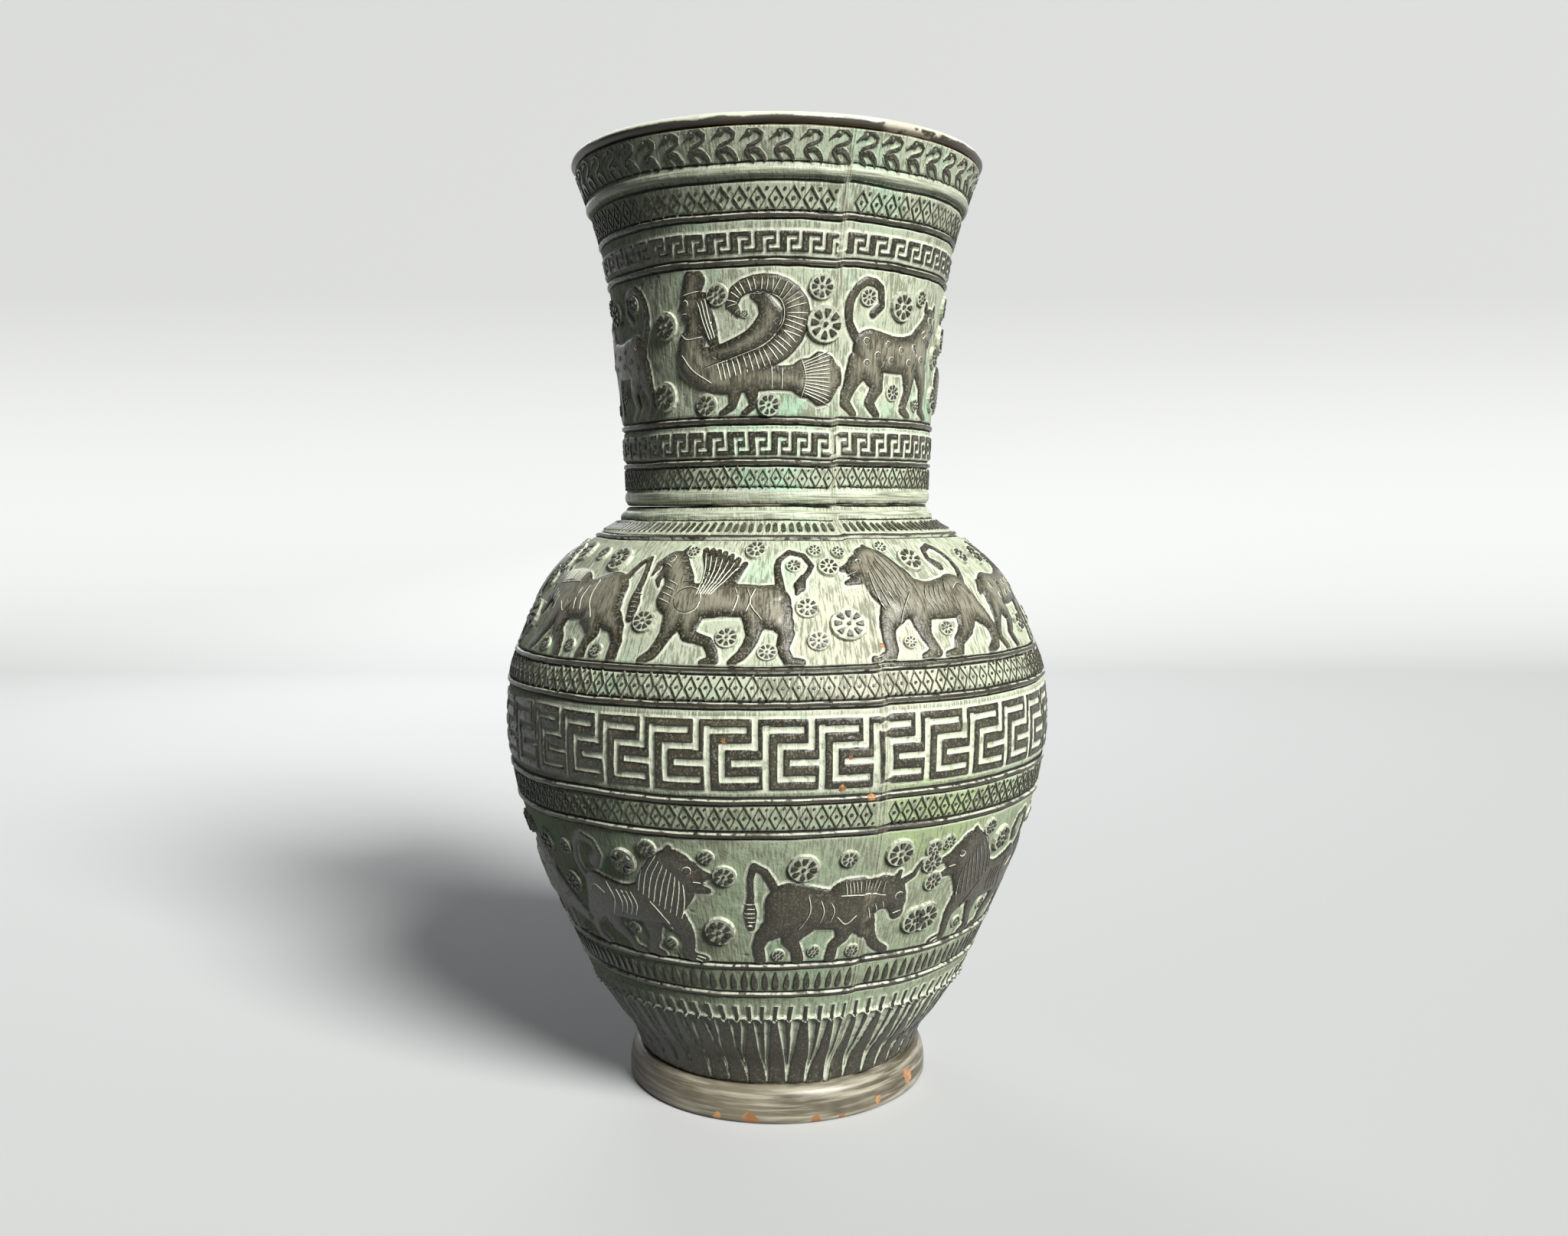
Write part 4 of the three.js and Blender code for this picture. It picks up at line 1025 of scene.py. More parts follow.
def profile_object(name, points, closed=True):
    """A guide curve from (radius, height) points in mm"""
    curve = bpy.data.curves.new(name, "CURVE")
    curve.dimensions = "3D"
    spline = curve.splines.new("POLY")
    spline.points.add(len(points) - 1)
    for point, (radius, height) in zip(spline.points, points):
        point.co = (radius * MM, 0, height * MM, 1)
    spline.use_cyclic_u = closed
    return new_object(name, curve)


def bending(radius, foot, head, section):
    """The values that bend a band round the wall, from mm"""
    return {
        "Wall line": wall_line_object(), "Radius": radius * MM, "Foot": foot * MM,
        "Height": (head - foot) * MM, "Lean at the foot": section.lean(foot) * MM,
        "Lean at the head": section.lean(head) * MM,
    }


# Motifs of the rows, flat, in mm
def ring_faces(rings, corners):
    """The faces between rings of points, each inside the one before"""
    faces = []
    for first in range(0, corners * (rings - 1), corners):
        for i in range(corners):
            after = (i + 1) % corners
            faces.append((first + i, first + after, first + corners + after, first + corners + i))
    return faces


def prism(outline, low, high, inset, skirt=0.0):
    """A raised form with a sloped edge and a bright skirt: (points, faces, how raised each point is)"""
    flat = np.array(outline, float)
    centre = flat.mean(0)
    levels = [(1.0, low, -0.7), (1 - inset, high, 0.9)]  # (size, level in mm, how raised)
    if skirt:
        levels[:1] = [(1 + skirt, low, -0.5), (1 + skirt * 0.8, 0.06, -0.45), (1.0, 0.08, -0.3)]
    points = [(*(centre + (corner - centre) * size), level) for size, level, _ in levels for corner in flat]
    raised = [value for _, _, value in levels for _ in flat]
    faces = ring_faces(len(levels), len(flat))
    faces.append(tuple(range(len(points) - len(flat), len(points))))
    return points, faces, raised


def joined(*forms):
    """Several forms as one"""
    points, faces, raised = [], [], []
    for form_points, form_faces, form_raised in forms:
        faces += [tuple(i + len(points) for i in face) for face in form_faces]
        points += form_points
        raised += form_raised
    return points, faces, raised


def disc_outline(x, y, radius, sides=6, squash=1.0):
    """A small round outline"""
    turns = [2 * math.pi * (i + 0.5) / sides for i in range(sides)]
    return [(x + radius * math.cos(t), y + radius * squash * math.sin(t)) for t in turns]


def lozenge(pitch, tall):
    """A diamond with a raised border and a raised dot, and a dot above and below it at its side"""
    wide, high, border = pitch * 0.46, tall * 0.48, pitch * 0.12
    points, raised = [], []
    for inset, level, value in ((0, -0.2, -0.7), (0.15, 0.45, 0.9), (0.75, 0.45, 0.9), (1, -0.2, -0.7)):
        w, h = wide - border * inset, high - border * inset * high / wide
        points += [(w, 0, level), (0, h, level), (-w, 0, level), (0, -h, level)]
        raised += [value] * 4
    places = ((0, 0, 0.13), (pitch / 2, tall * 0.36, 0.11), (pitch / 2, -tall * 0.36, 0.11))
    dots = [prism(disc_outline(x, y, pitch * share), -0.2, 0.42, 0.25) for x, y, share in places]
    points, faces, raised = joined((points, ring_faces(4, 4), raised), *dots)
    return [(x, y + tall / 2, z) for x, y, z in points], faces, raised


def tongue(wide, tall, top_share):
    """An upright bar with a rounded foot that narrows towards its top"""
    half, top = wide / 2, wide / 2 * top_share
    right = [(half, tall * 0.18), (half * 0.95, tall * 0.5), (top, tall * 0.86)]
    left = [(-x, y) for x, y in reversed(right)]
    return prism([*right, (0, tall), *left, (-half * 0.5, 0), (half * 0.5, 0)], -0.2, 0.5, 0.16)


def rosette():
    """Eight dark petals and a boss on a raised pale disc, 1 mm in radius"""
    points, faces, _ = prism(disc_outline(0, 0, 1.1, 16), -0.15, 0.2, 0.07)
    disc = (points, faces, [-0.4] * len(points))
    boss = prism(disc_outline(0, 0, 0.15), 0.1, 0.34, 0.3)
    petal = [(0.34, -0.06), (0.66, -0.19), (0.86, -0.2), (0.86, 0.2), (0.66, 0.19), (0.34, 0.06)]
    petals = []
    for k in range(8):
        turn = 2 * math.pi * k / 8
        c, s = math.cos(turn), math.sin(turn)
        petals.append(prism([(x * c - y * s, x * s + y * c) for x, y in petal], 0.1, 0.32, 0.3))
    return joined(disc, boss, *petals)


def stroke(path):
    """A raised tapered stroke through (x, y, half width) points, with a bright skirt"""
    chain = curve_through(path, 0.9)
    # From the left of the stroke to its top: (share of its half width, mm past that, level, how raised)
    left = ((1, 0.38, -0.2, -0.5), (1, 0.38 * 0.8, 0.06, -0.45), (1, 0, 0.08, -0.3), (0.7, 0, 0.5, 0.9))
    right = ((-share, -past, level, value) for share, past, level, value in reversed(left))
    section = (*left, *right)
    points, raised = [], []
    for i, (x, y, half) in enumerate(chain):
        tangent = chain[min(i + 1, len(chain) - 1)][:2] - chain[max(i - 1, 0)][:2]
        side = np.array([-tangent[1], tangent[0]]) / max(np.hypot(*tangent), 1e-6)
        for share, past, level, value in section:
            reach = half * share + past
            points.append((x + side[0] * reach, y + side[1] * reach, level))
            raised.append(value)
    n = len(section)
    last = n * (len(chain) - 1)
    faces = [(i + k, i + n + k, i + n + k + 1, i + k + 1) for i in range(0, last, n) for k in range(n - 1)]
    faces += [tuple(range(n)), tuple(range(last + n - 1, last - 1, -1))]
    return points, faces, raised


def goose():
    """A standing water bird that looks left, drawn in a few tapered strokes, 9.6 mm tall"""
    bill = [(-3.7, 6.2, 0.15), (-2.7, 7.1, 0.4), (-1.7, 7.7, 0.6)]
    neck = [
        (-0.4, 8.7, 0.4), (1.2, 8.7, 0.45), (2.5, 7.6, 0.5), (2.2, 6.2, 0.5), (0.3, 5.2, 0.5),
        (-1.5, 4.4, 0.55), (-2.2, 3.2, 0.6),
    ]
    breast = [(-2.2, 3.2, 0.6), (-1.6, 1.9, 0.5), (-0.7, 0.9, 0.4), (0.2, 0.1, 0.15)]
    wing = [(-1.3, 3.0, 0.6), (0.3, 3.5, 0.8), (1.9, 2.5, 0.7), (3.0, 0.8, 0.45), (3.3, 0.1, 0.2)]
    head = prism(disc_outline(-1.0, 8.1, 1.15, 9, 0.95), -0.2, 0.5, 0.15, 0.28)
    points, faces, _ = prism(disc_outline(-1.1, 8.2, 0.45), 0.4, 0.6, 0.3)
    eye = (points, faces, [-0.9] * len(points))
    return joined(stroke(bill), head, eye, stroke(neck), stroke(breast), stroke(wing))


def motif_object(name, form):
    """A motif that a tree places, kept out of the picture"""
    points, faces, raised = form
    return new_object("motif_" + name, new_mesh(name, points, faces, raised=np.array(raised, np.float32)))


# Finishes
def paint(*eight_bit):
    """A colour as seen, from 0 to 255, as the linear colour that the shader takes"""
    return tuple(c / 255 / 12.92 if c <= 10 else ((c / 255 + 0.055) / 1.055) ** 2.4 for c in eight_bit)


class Finish:
    """A material, with short ways to add its nodes"""

    def __init__(self, name):
        self.material = bpy.data.materials.new(name + "_finish")
        self.material.use_nodes = True
        self.tree = self.material.node_tree
        self.shader = self.tree.nodes["Principled BSDF"]
        self.place = add(self.tree, "ShaderNodeTexCoord").outputs["Object"]

    def attribute(self, name, output="Fac"):
        """A value that the mesh carries"""
        return add(self.tree, "ShaderNodeAttribute", attribute_name=name).outputs[output]

    def noise(self, scale, detail=3.0, vector=None, rough=0.55):
        """Noise from 0 to 1, with scale bumps to a metre"""
        settings = {"Vector": vector or self.place, "Scale": scale, "Detail": detail, "Roughness": rough}
        return add(self.tree, "ShaderNodeTexNoise", settings).outputs["Fac"]

    def stretch(self, vector, across, up, out=1.0):
        """A place, scaled by its own factor each way"""
        return add(self.tree, "ShaderNodeMapping", {"Vector": vector, "Scale": (across, up, out)}).outputs[0]

    def step(self, value, low, high, top=1.0):
        """0 at low and top at high, smooth between. low may be the larger."""
        settings = {"Value": value, "From Min": low, "From Max": high, "To Max": top}
        return add(self.tree, "ShaderNodeMapRange", settings, interpolation_type="SMOOTHSTEP").outputs[0]

    def calc(self, operation, *values):
        """A sum on numbers"""
        return calc(self.tree, operation, *values)

    def less(self, whole, value, share):
        """The whole, less a share of the value"""
        return self.calc("SUBTRACT", whole, self.calc("MULTIPLY", value, share))

    def apart(self, value, level):
        """How far a value is from a level"""
        return self.calc("ABSOLUTE", self.calc("SUBTRACT", value, level))

    def stirred(self, value, noise, reach, middle=0.5):
        """A value that a noise moves up and down, by half of reach at most"""
        return self.calc("MULTIPLY_ADD", self.calc("SUBTRACT", noise, middle), reach, value)

    def height(self):
        """The height in metres"""
        return parts_of(self.tree, self.place)[2]

    def mix(self, share, first, second):
        """The first colour at 0 and the second at 1"""
        node = add(self.tree, "ShaderNodeMix", data_type="RGBA")
        sockets = (node.inputs["Factor"], node.inputs[6], node.inputs[7])
        for socket, value in zip(sockets, (share, first, second)):
            if isinstance(value, bpy.types.NodeSocket):
                self.tree.links.new(value, socket)
            else:
                socket.default_value = (*value, 1.0) if hasattr(value, "__len__") else value
        return node.outputs[2]

    def cover(self, colour, second, share, most):
        """The colour, with as much of the second over it as share says, up to most"""
        return self.mix(self.calc("MULTIPLY", share, most), colour, second)

    def spot(self, azimuth, height, radius, soft=0.5):
        """1 in a ragged round patch on the wall, and 0 outside it"""
        turn = math.radians(azimuth)
        reach = float(WALL.radius(height)) if height > WALL_LINE[0][1] else FOOT_RADIUS
        at = (reach * math.sin(turn) * MM, -reach * math.cos(turn) * MM, height * MM)
        node = add(self.tree, "ShaderNodeVectorMath", {0: self.place, 1: at}, operation="DISTANCE")
        ragged = self.stirred(node.outputs["Value"], self.noise(190, 4), radius * MM * 1.5)
        return self.step(ragged, radius * MM, radius * MM * (1 - soft))

    def chipped(self, colour, clay):
        """The colour with the chips in it, where the bare clay shows"""
        ragged = self.calc("SUBTRACT", self.noise(620, 3), 0.5)
        for azimuth, height, radius in CHIPS:
            place = self.calc("ADD", self.spot(azimuth, height, radius * 1.2, 1.0), ragged)
            colour = self.mix(self.step(place, 0.34, 0.4), colour, clay)
        return colour

    def surface(self, colour, roughness, bump, strength, distance):
        """Joins the shader's inputs"""
        links, inputs = self.tree.links, self.shader.inputs
        links.new(colour, inputs["Base Color"])
        if isinstance(roughness, bpy.types.NodeSocket):
            links.new(roughness, inputs["Roughness"])
        else:
            inputs["Roughness"].default_value = roughness
        node = add(self.tree, "ShaderNodeBump", {"Height": bump, "Strength": strength, "Distance": distance})
        links.new(node.outputs[0], inputs["Normal"])
        return self.material


FOOT_RADIUS = 49.5  # mm, about the foot ring's, for the chips below the wall
# Chips that show the bare clay: (azimuth, height, radius) in degrees and mm
CHIPS = (
    (12, 112.6, 1.5), (17.6, 109.4, 1.8), (-9, 126, 1.1), (13.4, 121.5, 1.5), (20.5, 172, 1.3),
    (21, 151, 1.6), (-22, 1.2, 2.2), (-9, 1.0, 3.4), (14, 0.8, 2.2), (24, 0.8, 1.8), (58, 5, 3.4),
    (40, 3, 1.6),
)


# Patches of colour in the hollows: (azimuth, height, radius, how strong, colour) in degrees and mm
PATCHES = (
    (20, 150, 30, 0.6, "cream"), (34, 106, 26, 0.85, "lime"), (24, 172, 9, 0.6, "lime"),
    (-2, 210, 22, 0.8, "mint"),
)
LOWER_CARVING = (0.145, 0.085)  # m, the heights where the carving starts to be darker, and is


def carved_clay():
    """Bronze on the raised carving, pale verdigris brushed into the hollows, pale edges that are partly wear
    and partly painted highlight, and painted shade in the grooves
    """
    look = bpy.context.scene.vase_finish
    f = Finish("carved_clay")
    raised, rubbed, groove, thread = (f.attribute(n) for n in ("raised", "rubbed", "groove", "thread"))
    thread = f.calc("SUBTRACT", THREAD_REACH, thread)
    turned, smeared = f.attribute("turned"), f.attribute("smeared")
    flat = f.attribute("flat", "Vector")
    fine, middling, broad, patches = f.noise(1500, 2), f.noise(420, 3), f.noise(95, 3), f.noise(26, 3)
    hatch = f.noise(1.0, 3, f.stretch(flat, 1500, 190), 0.65)
    streak = f.noise(1.0, 4, f.stretch(flat, 60, 1500), 0.6)
    strokes = f.stirred(hatch, broad, 0.5)
    lower = f.step(f.height(), *LOWER_CARVING)

    def ragged(value, reach, low, high, top=1.0):
        return f.step(f.stirred(value, middling, reach), low, high, top)

    # The hollows: verdigris in patches, with darker brush strokes
    field = f.mix(f.step(broad, 0.35, 0.65), look.verdigris, look.pale_verdigris)
    field = f.mix(f.step(patches, 0.53, 0.7, 0.6), field, look.mint)
    for azimuth, height, radius, strength, tint in PATCHES:
        field = f.cover(field, getattr(look, tint), f.spot(azimuth, height, radius), strength)
    field = f.cover(field, look.moss, lower, 0.6)
    field = f.mix(f.step(strokes, 0.46, 0.6, 0.9), field, look.shade)
    field = f.mix(f.step(fine, 0.6, 0.74, 0.45), field, look.shade)
    # The raised forms: bronze, lighter where they stand highest, partly from wear and partly a painted sheen,
    # with a line of painted shade inside the edge
    dark = f.mix(f.step(broad, 0.42, 0.66), look.bronze, look.brown)
    dark = f.cover(dark, look.bronze, lower, 0.75)
    dark = f.mix(f.step(fine, 0.52, 0.66, f.less(0.7, lower, 0.35)), dark, look.speck)
    worn_and_sheen = f.mix(f.step(strokes, 0.42, 0.68), look.worn_and_sheen, look.brown)
    dark = f.mix(f.calc("MULTIPLY", ragged(raised, 1.0, 0.9, 4.2), f.less(1.0, lower, 0.85)), dark, worn_and_sheen)
    dark = f.mix(f.step(f.apart(raised, 0.3), 0.36, 0.1, 0.6), dark, look.dark_and_shade)
    on = ragged(f.stirred(raised, broad, 0.6, 0.52), look.raggedness / MM * 1.2, -0.14, 0.14)
    colour = f.mix(on, field, dark)
    # Their pale rims, partly from wear and partly painted highlight, the cut lines with their painted
    # highlight and shade, and painted shade in the grooves
    rim = f.calc("MULTIPLY", f.step(raised, -1.0, -0.6), f.step(raised, 0.04, -0.1))
    colour = f.mix(f.calc("MULTIPLY", rim, f.step(middling, 0.3, 0.5, 0.85)), colour, look.rubbed)
    colour = f.mix(ragged(rubbed, 0.5, 0.0, 0.2), colour, look.rubbed)
    colour = f.mix(ragged(groove, 0.4, -0.05, 0.14), colour, look.dark_and_shade)
    # Mouldings and fillets: pale beside a fillet, a dark line of painted shade, the brown thread and its
    # bright edge, a painted highlight
    colour = f.mix(turned, colour, f.mix(f.step(streak, 0.36, 0.6), look.shade, look.pale_verdigris))
    colour = f.mix(ragged(thread, 0.5, 1.9, 1.4, 0.8), colour, look.pale_verdigris)
    colour = f.mix(ragged(f.apart(thread, 1.05), 0.3, 0.46, 0.3), colour, look.dark_and_shade)
    thread_clay = f.mix(f.step(streak, 0.42, 0.64), look.bronze, look.brown)
    colour = f.mix(f.step(thread, 0.72, 0.6), colour, thread_clay)
    bright = f.calc("MULTIPLY", f.step(f.apart(thread, 0.6), 0.22, 0.08), f.step(middling, 0.36, 0.5))
    colour = f.mix(f.calc("MULTIPLY", bright, f.step(broad, 0.34, 0.5, 0.75)), colour, look.rubbed)
    # Slip in the seams, and chips
    colour = f.mix(f.calc("MULTIPLY", smeared, f.step(middling, 0.38, 0.66, 0.4)), colour, look.slip_wash)
    colour = f.chipped(colour, f.mix(f.step(fine, 0.4, 0.62), look.terracotta_shade, look.terracotta))
    smooth = f.calc("MAXIMUM", f.calc("MAXIMUM", on, turned), f.step(thread, 0.8, 0.6))
    bump = f.calc("MULTIPLY_ADD", fine, 0.5, f.calc("MULTIPLY_ADD", hatch, 0.8, middling))
    return f.surface(colour, ranged(f.tree, smooth, 0.8, 0.36), bump, 0.7, 0.0003)


def bronzed_clay():
    """Smooth brown bronze with a satin sheen, on the lip and the foot, pale along the mouth from wear and a
    painted highlight
    """
    look = bpy.context.scene.vase_finish
    f = Finish("bronzed_clay")
    fine, middling, broad = f.noise(900, 3), f.noise(160, 4), f.noise(30, 3)
    streak = f.noise(1.0, 4, f.stretch(f.place, 40, 40, 700))
    height = f.height()
    colour = f.mix(f.step(broad, 0.38, 0.62), look.satin_bronze, look.satin_dark)
    colour = f.mix(f.step(streak, 0.42, 0.7, 0.8), colour, look.satin_light)
    colour = f.mix(f.step(height, 0.29, 0.291, 0.8), colour, look.bronze)
    # The crown of the lip is pale, partly from wear and partly a painted highlight
    crown = f.stirred(height, middling, 0.002)
    colour = f.mix(f.step(crown, (HEIGHT - 1.9) * MM, (HEIGHT - 1.2) * MM), colour, look.rubbed)
    # A cream patch on the right of the mouth, where the key light falls: partly a cream bloom and partly a
    # painted highlight
    bloom_and_highlight = f.calc("MULTIPLY", f.spot(38, HEIGHT, 16, 0.4), f.step(middling, 0.42, 0.5))
    colour = f.mix(bloom_and_highlight, colour, look.cream)
    colour = f.mix(f.step(middling, 0.62, 0.8, 0.4), colour, look.shade)
    colour = f.chipped(colour, f.mix(f.step(middling, 0.42, 0.6), look.terracotta_shade, look.terracotta))
    bump = f.calc("MULTIPLY_ADD", fine, 0.4, streak)
    return f.surface(colour, ranged(f.tree, middling, 0.28, 0.5), bump, 0.35, 0.0002)


def bare_clay():
    """Fired terracotta, bare, inside the vase"""
    look = bpy.context.scene.vase_finish
    f = Finish("bare_clay")
    fine, broad = f.noise(1100, 3), f.noise(60, 4)
    colour = f.mix(f.step(broad, 0.35, 0.68), look.terracotta, look.terracotta_shade)
    colour = f.mix(f.step(fine, 0.6, 0.78, 0.5), colour, look.slip_wash)
    return f.surface(colour, 0.9, f.calc("ADD", fine, broad), 0.5, 0.0003)


def dried_slip():
    """Clay slip, smeared and fired, with the same dust over it as the wall"""
    look = bpy.context.scene.vase_finish
    f = Finish("dried_slip")
    fine, broad = f.noise(700, 3), f.noise(110, 4)
    colour = f.mix(f.step(broad, 0.3, 0.62), look.slip_wash, look.dark_and_shade)
    return f.surface(colour, 0.86, fine, 0.5, 0.0003)


FINISHES = {
    "carved_clay": carved_clay, "bronzed_clay": bronzed_clay, "bare_clay": bare_clay,
    "dried_slip": dried_slip,
}


def finish(slot):
    """The material of a slot, made on first use"""
    return bpy.data.materials.get(slot + "_finish") or FINISHES[slot]()


# What a user would change
def length(name, description, millimetres):
    """A length, in metres for Blender"""
    return bpy.props.FloatProperty(
        name=name, description=description, default=millimetres * MM, unit="LENGTH", precision=4
    )


def colour(name, description, *eight_bit):
    """A colour, given as seen"""
    return bpy.props.FloatVectorProperty(
        name=name, description=description, default=paint(*eight_bit), size=3, min=0, max=1, subtype="COLOR"
    )


def count(name, description, number):
    """How many of a motif go round the vase"""
    return bpy.props.IntProperty(name=name, description=description, default=number, min=8)


class VaseForm(bpy.types.PropertyGroup):
    """Sizes of the vase that its solids don't show"""

    body_wall: length("Body wall", "Thickness of the wall of the body", 6.2)
    neck_wall: length("Neck wall", "Thickness of the wall of the neck", 5.4)
    line_width: length("Cut line", "Width of the lines cut into the figures", 0.9)
    # The cut lines' pale side is a painted highlight, and their dark side painted shade
    line_lift: length("Line lift", "How far the rubbed edge of a cut line stands up", 0.14)
    unevenness: length("Unevenness", "How far the turned rings are out of round", 0.5)
    upper_tongues: count("Upper tongues", "Tongues round the top of the shoulder", 146)
    lower_tongues: count("Lower tongues", "Tongues under the lower frieze", 140)
    belly_lozenges: count("Belly lozenges", "Lozenges in each of the two bands beside the broad key", 128)
    throat_lozenges: count("Throat lozenges", "Lozenges round the foot of the neck", 80)
    mouth_lozenges: count("Mouth lozenges", "Lozenges under the mouth", 72)
    geese: count("Geese", "Water birds round the mouth", 48)


class VaseFinish(bpy.types.PropertyGroup):
    """Colours of the finishes, as seen in plain light"""

    raggedness: length("Raggedness", "How far the painted edges stray", 0.4)
    bronze: colour("Bronze", "The dark bronze on the low carving", 54, 51, 40)
    brown: colour("Brown", "The warmer bronze beside it", 86, 82, 66)
    # Lighter bronze on the high carving: partly wear and partly a painted sheen
    worn_and_sheen: colour("Worn bronze", "The bronze rubbed light on the high carving", 156, 153, 134)
    speck: colour("Specks", "Rubbed specks on the dark parts", 144, 146, 126)
    verdigris: colour("Verdigris", "The grey-green in the hollows", 198, 208, 182)
    moss: colour("Moss", "The darker green of the lower hollows", 148, 168, 134)
    pale_verdigris: colour("Pale verdigris", "The lighter patches of it", 214, 221, 198)
    mint: colour("Mint", "The mint green patches", 178, 222, 190)
    lime: colour("Lime", "The yellow-green patches", 192, 212, 146)
    # Cream also paints part of a highlight on the right of the mouth
    cream: colour("Cream", "The cream bloom on the shoulder and the mouth", 222, 215, 196)
    shade: colour("Brush marks", "The darker strokes in the hollows", 138, 143, 120)
    # Pale edges: partly wear and partly painted highlight
    rubbed: colour("Rubbed edges", "The pale edges", 232, 237, 216)
    # Painted shade in the grooves, beside the fillets and inside the edges of raised forms; also the darker
    # clouds in the slip
    dark_and_shade: colour("Grooves", "The dark in the deep grooves", 26, 24, 18)
    slip_wash: colour("Slip", "The dusty slip along the seams", 190, 184, 160)
    satin_bronze: colour("Satin bronze", "The lip and the foot", 130, 123, 104)
    satin_dark: colour("Dark satin bronze", "Its darker clouds", 86, 80, 65)
    satin_light: colour("Light satin bronze", "Its rubbed streaks", 198, 192, 172)
    terracotta: colour("Terracotta", "The bare fired clay", 204, 158, 112)
    terracotta_shade: colour("Dark terracotta", "Its darker clouds", 160, 112, 74)


class VasePiece:
    """What every operator here shares"""

    bl_options = {"REGISTER", "UNDO"}

    def execute(self, context):
        self.make(context.scene.vase_form)
        return {"FINISHED"}


def wall_pieces(prefix):
    """The carved pieces of the body or the neck, front and back"""
    gap = SEAM_WIDTH / 2
    halves = {"front": (SEAMS[1] - TURN + gap, SEAMS[0] - gap), "back": (SEAMS[0] + gap, SEAMS[1] - gap)}
    for name, section in SECTIONS.items():
        if not name.startswith(prefix):
            continue
        for half, (start, end) in halves.items():
            label = name.replace(prefix, f"{prefix}_{half}")
            sheet(label, section, start, end, "carved_clay", f"{prefix}_{half}")


def sheet(label, section, start, end, slot, *nodes):
    """One closed piece of the wall"""
    piece = grow(
        label, shared_tree("carved_sheet", sheet_tree), wall_mesh(label, section, start, end),
        **bending(section.radius, section.foot, section.head, section),
        **{"Finish": finish(slot), "Inner finish": finish("bare_clay")},
    )
    shade_smooth(piece.data)
    keep(piece, slot, *nodes)


class VASE_OT_body(VasePiece, bpy.types.Operator):
    """Carve the front and back halves of the body"""

    bl_idname = "vase.body"
    bl_label = "Body"

    def make(self, form):
        wall_pieces("body")


class VASE_OT_neck(VasePiece, bpy.types.Operator):
    """Carve the front and back halves of the neck"""

    bl_idname = "vase.neck"
    bl_label = "Neck"

    def make(self, form):
        wall_pieces("neck")


class VASE_OT_seams(VasePiece, bpy.types.Operator):
    """Smear the slip down the seams of the body and the neck"""

    bl_idname = "vase.seams"
    bl_label = "Seams"

    def make(self, form):
        for side, azimuth in zip(("right", "left"), SEAMS):
            for name, section in SECTIONS.items():
                part = name.split("_")[0]
                label = name.replace(part, f"{part}_seam_{side}", 1)
                start, end = azimuth - SEAM_WIDTH / 2, azimuth + SEAM_WIDTH / 2
                sheet(label, section, start, end, "carved_clay", f"{part}_seam_{side}")


def arc(centre, reach, start, end, steps):
    """Points on an ellipse's arc, in degrees anticlockwise from straight out"""
    turns = np.radians(np.linspace(start, end, steps + 1))
    return [(centre[0] + reach[0] * math.cos(t), centre[1] + reach[1] * math.sin(t)) for t in turns]


def turned(label, profile, slot, unevenness, steps, nodes, seed):
    """A ring from a closed profile"""
    guide = profile_object(label + "_profile", profile)
    values = {"Profile": guide, "Round": 360, "Along": steps, "Unevenness": unevenness, "Seed": seed}
    piece = grow(
        label, shared_tree("turned_ring", ring_tree), bpy.data.meshes.new(label), **values,
        Finish=finish(slot),
    )
    bpy.data.objects.remove(guide)
    shade_smooth(piece.data)
    keep(piece, slot, *nodes)


class VASE_OT_rings(VasePiece, bpy.types.Operator):
    """Turn the lip and the foot"""

    bl_idname = "vase.rings"
    bl_label = "Lip and foot"

    def make(self, form):
        low, high = (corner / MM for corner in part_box("lip_ring"))
        mouth = float(WALL.radius(NECK_TOP))
        half = (high.z - low.z) / 2
        outer = max(high.x, high.y)
        crown = arc((outer - half * 1.5, low.z + half * 0.95), (half * 1.5, half * 1.05), -62, 100, 18)
        shed = arc((outer - 4.2, low.z + half * 0.9), (2.0, half * 1.02), 90, 215, 12)
        profile = [(mouth - 0.6, low.z), *crown, *shed]
        turned("lip_ring_rim", profile, "bronzed_clay", form.unevenness, 64, ["lip_ring"], 3)
        low, high = (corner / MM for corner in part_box("foot_ring"))
        outer, waist = max(high.x, high.y), WALL_LINE[0][0]
        hole = waist - 11.2
        standing = arc((outer - 1.2, low.z + 1.2), (1.2, 1.2), -90, 0, 6)
        flare = arc((waist + 0.3, 3.2), (outer - waist - 0.3, high.z - 3.2), 0, 84, 18)
        profile = [*standing, *flare, (waist - 0.6, high.z), (hole, high.z), (hole, 1), (hole + 1, low.z)]
        turned("foot_ring_rim", profile, "bronzed_clay", form.unevenness, 96, ["foot_ring"], 5)


class VASE_OT_slip(VasePiece, bpy.types.Operator):
    """Lay the beds of slip under the foot, the neck and the lip, and finish the floor"""

    bl_idname = "vase.slip"
    bl_label = "Beds of slip"

    def make(self, form):
        for node in ("foot_slip", "collar_slip", "lip_slip"):
            low, high = (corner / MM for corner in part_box(node))
            radius, middle = max(high.x, high.y) - 0.25, (low.z + high.z) / 2
            bead = arc((radius - 2.2, middle), (2.2, (high.z - low.z) / 2 + 0.12), -90, 270, 24)
            turned(node + "_bead", bead, "dried_slip", form.unevenness * 0.3, 24, [node], 7)
        for node, slot in (("floor_disc", "bare_clay"), ("floor_slip", "dried_slip")):
            materials = frame["nodes"][node].data.materials
            materials.clear()
            materials.append(finish(slot))


